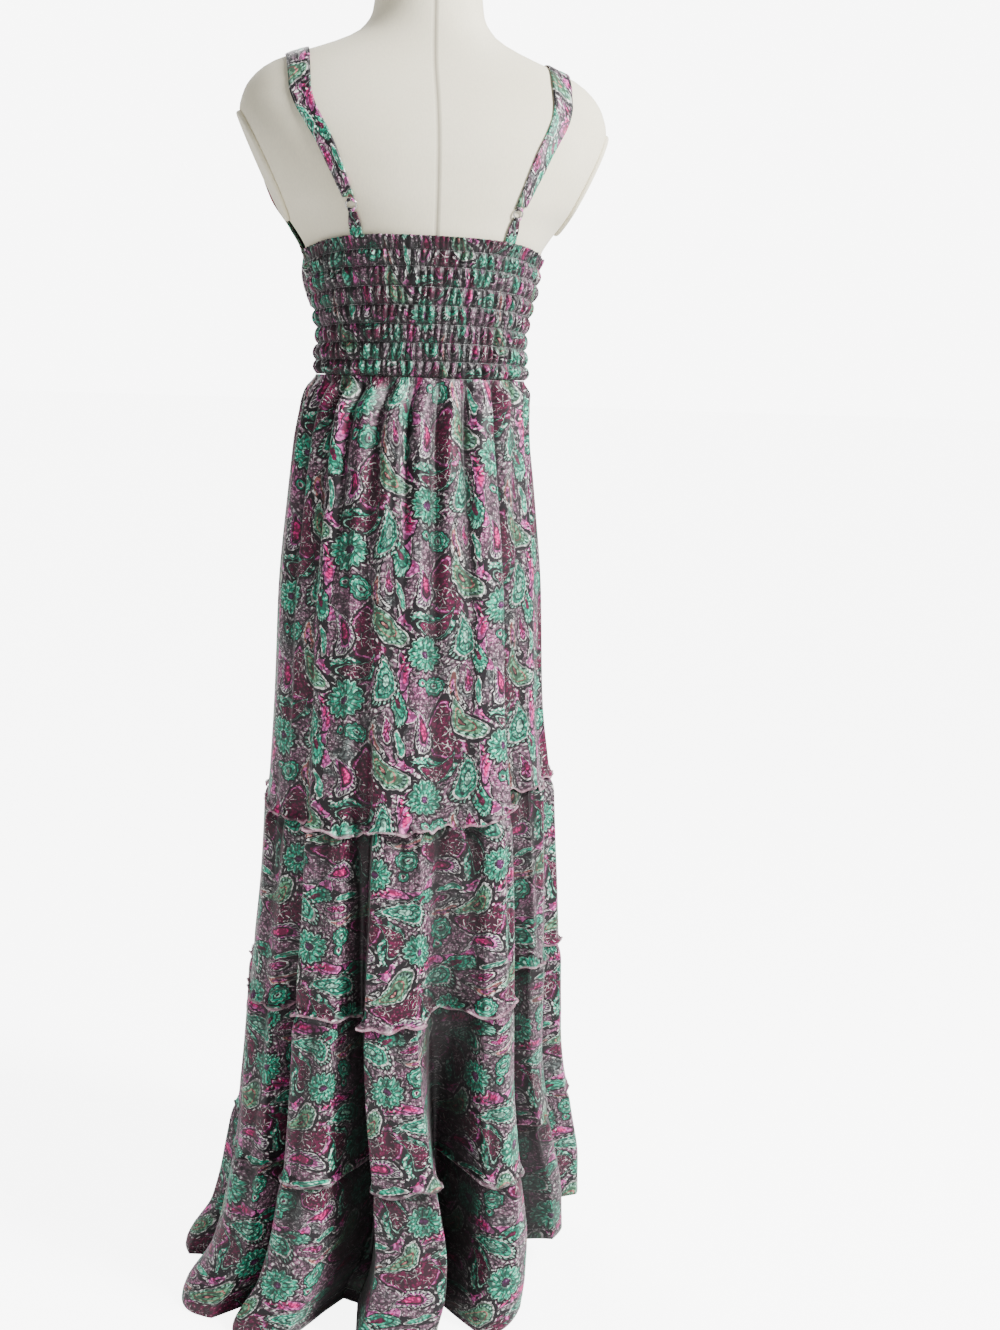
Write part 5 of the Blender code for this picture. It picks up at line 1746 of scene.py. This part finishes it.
def finishTree(tree, given, spaced, stitch):
    placed = addNode(
        tree, "GeometryNodeInstanceOnPoints", Points=spaced, Instance=stitch, Rotation=facingRotation(tree)
    )
    real = addNode(tree, "GeometryNodeRealizeInstances", Geometry=placed.outputs[0]).outputs[0]
    dyed = addNode(tree, "GeometryNodeSetMaterial", Geometry=real, Material=given["Thread Finish"])
    tree.links.new(dyed.outputs[0], tree.nodes.new("NodeGroupOutput").inputs[0])
    return tree


def makeOverlockTree():
    numbers = {
        "Pitch": sewing["overlockPitch"], "Half Height": sewing["overlockHeight"],
        "Half Depth": sewing["overlockDepth"], "Thread Radius": sewing["overlockThread"],
    }
    tree, given, spaced = startTree("overlockedEdge", numbers)
    circle = addNode(tree, "GeometryNodeCurvePrimitiveCircle", Resolution=7, Radius=1.0).outputs[0]
    size = addNode(tree, "ShaderNodeCombineXYZ", X=given["Half Depth"], Y=given["Half Height"], Z=1.0)
    lean = (sewing["overlockLean"], 0.0, 0.0)
    loop = addNode(tree, "GeometryNodeTransform", Geometry=circle, Scale=size.outputs[0], Rotation=lean)
    section = addNode(tree, "GeometryNodeCurvePrimitiveCircle", Resolution=3, Radius=given["Thread Radius"])
    thread = addNode(tree, "GeometryNodeCurveToMesh", Curve=loop.outputs[0], Profile_Curve=section.outputs[0])
    return finishTree(tree, given, spaced, thread.outputs[0])


def makeStitchTree():
    numbers = {
        "Pitch": sewing["stitchPitch"], "Stitch Length": sewing["stitchLength"],
        "Thread Radius": sewing["stitchThread"],
    }
    tree, given, spaced = startTree("stitchRow", numbers)
    stitch = addNode(
        tree, "GeometryNodeMeshCylinder", fill_type="TRIANGLE_FAN", Vertices=4, Radius=given["Thread Radius"],
        Depth=given["Stitch Length"],
    )
    return finishTree(tree, given, spaced, stitch.outputs["Mesh"])


overlockTree = makeOverlockTree()
stitchTree = makeStitchTree()


def sewAlong(name, tree, lines, thread, **changes):
    # lines: pairs of points and outward directions; the result is one plain mesh
    vertices, edges, away = [], [], []
    for points, directions in lines:
        first = len(vertices)
        vertices += [tuple(p) for p in points]
        away.append(np.asarray(directions, np.float32))
        edges += [(first + i, first + i + 1) for i in range(len(points) - 1)]
    mesh = bpy.data.meshes.new(name + "Guide")
    mesh.from_pydata(vertices, edges, [])
    directions = mesh.attributes.new("away", "FLOAT_VECTOR", "POINT")
    directions.data.foreach_set("vector", np.concatenate(away).reshape(-1))
    guide = addObject(name + "Guide", mesh)
    sewn = guide.modifiers.new("sewing", "NODES")
    sewn.node_group = tree
    changes["Thread Finish"] = thread
    for item in tree.interface.items_tree:
        if item.in_out == "INPUT" and item.name in changes:
            sewn[item.identifier] = changes[item.name]
    bpy.context.view_layer.update()
    result = bpy.data.meshes.new_from_object(guide.evaluated_get(bpy.context.evaluated_depsgraph_get()))
    result.name = name
    bpy.data.objects.remove(guide)
    result.shade_smooth()
    finishPiece(addObject(name, result))


def gridAway(points):
    # outward directions of a cloth grid
    away = np.cross(np.gradient(points, axis=0), np.gradient(points, axis=1))
    return away / np.linalg.norm(away, axis=-1, keepdims=True)


def rowsOf(points, away, rows, raised=sewing["stitchRaise"]):
    return [(points[row] + away[row] * raised, away[row]) for row in rows]


def stretchesOf(shown):
    # runs of at least four neighbours that show
    edges = np.flatnonzero(np.diff(np.concatenate([[0], shown.astype(int), [0]])))
    return [slice(start, end) for start, end in zip(edges[::2], edges[1::2]) if end - start > 3]


def overlockTier(tier, front):
    part = tierParts[tier["name"], front]
    edge = part["points"][-1] + np.array([0.0, 0.0, sewing["overlockRaise"]])
    away = gridAway(part["points"])[-1]
    lines = [(edge[run], away[run]) for run in stretchesOf(part["onRidge"] > tier["overlockFrom"])]
    sewAlong(part["name"] + "Overlock", overlockTree, lines, tier["thread"])


for tier in skirtTiers[:3]:
    for front in (False, True):
        overlockTier(tier, front)
for front in (False, True):
    part = tierParts["fourthTier", front]
    lines = rowsOf(part["points"], part["outward"], (-4,))
    sewAlong(part["name"] + "HemStitches", stitchTree, lines, sewingThread)

lines = rowsOf(backPoints, gridAway(backPoints), elasticRows[:-1], 0.0002)
sewAlong("elasticStitches", stitchTree, lines, sewingThread, Pitch=sewing["elasticPitch"])
for side in (1, -1):
    lines = []
    for points, away in (strapPoints[side], tabPoints[side]):
        lines += rowsOf(points.swapaxes(0, 1), away.swapaxes(0, 1), (1, straps["columns"] - 1))
    sewAlong(sideName(side) + "StrapStitches", stitchTree, lines, sewingThread)
for side in (1, -1):
    lines = rowsOf(cupPoints[side], gridAway(cupPoints[side]), (3,))
    sewAlong(sideName(side) + "CupStitches", stitchTree, lines, sewingThread)
lines = rowsOf(bandPoints, gridAway(bandPoints), (1, frontBodice["bandRows"] - 1))
sewAlong("bandStitches", stitchTree, lines, sewingThread)
print("sewing done")
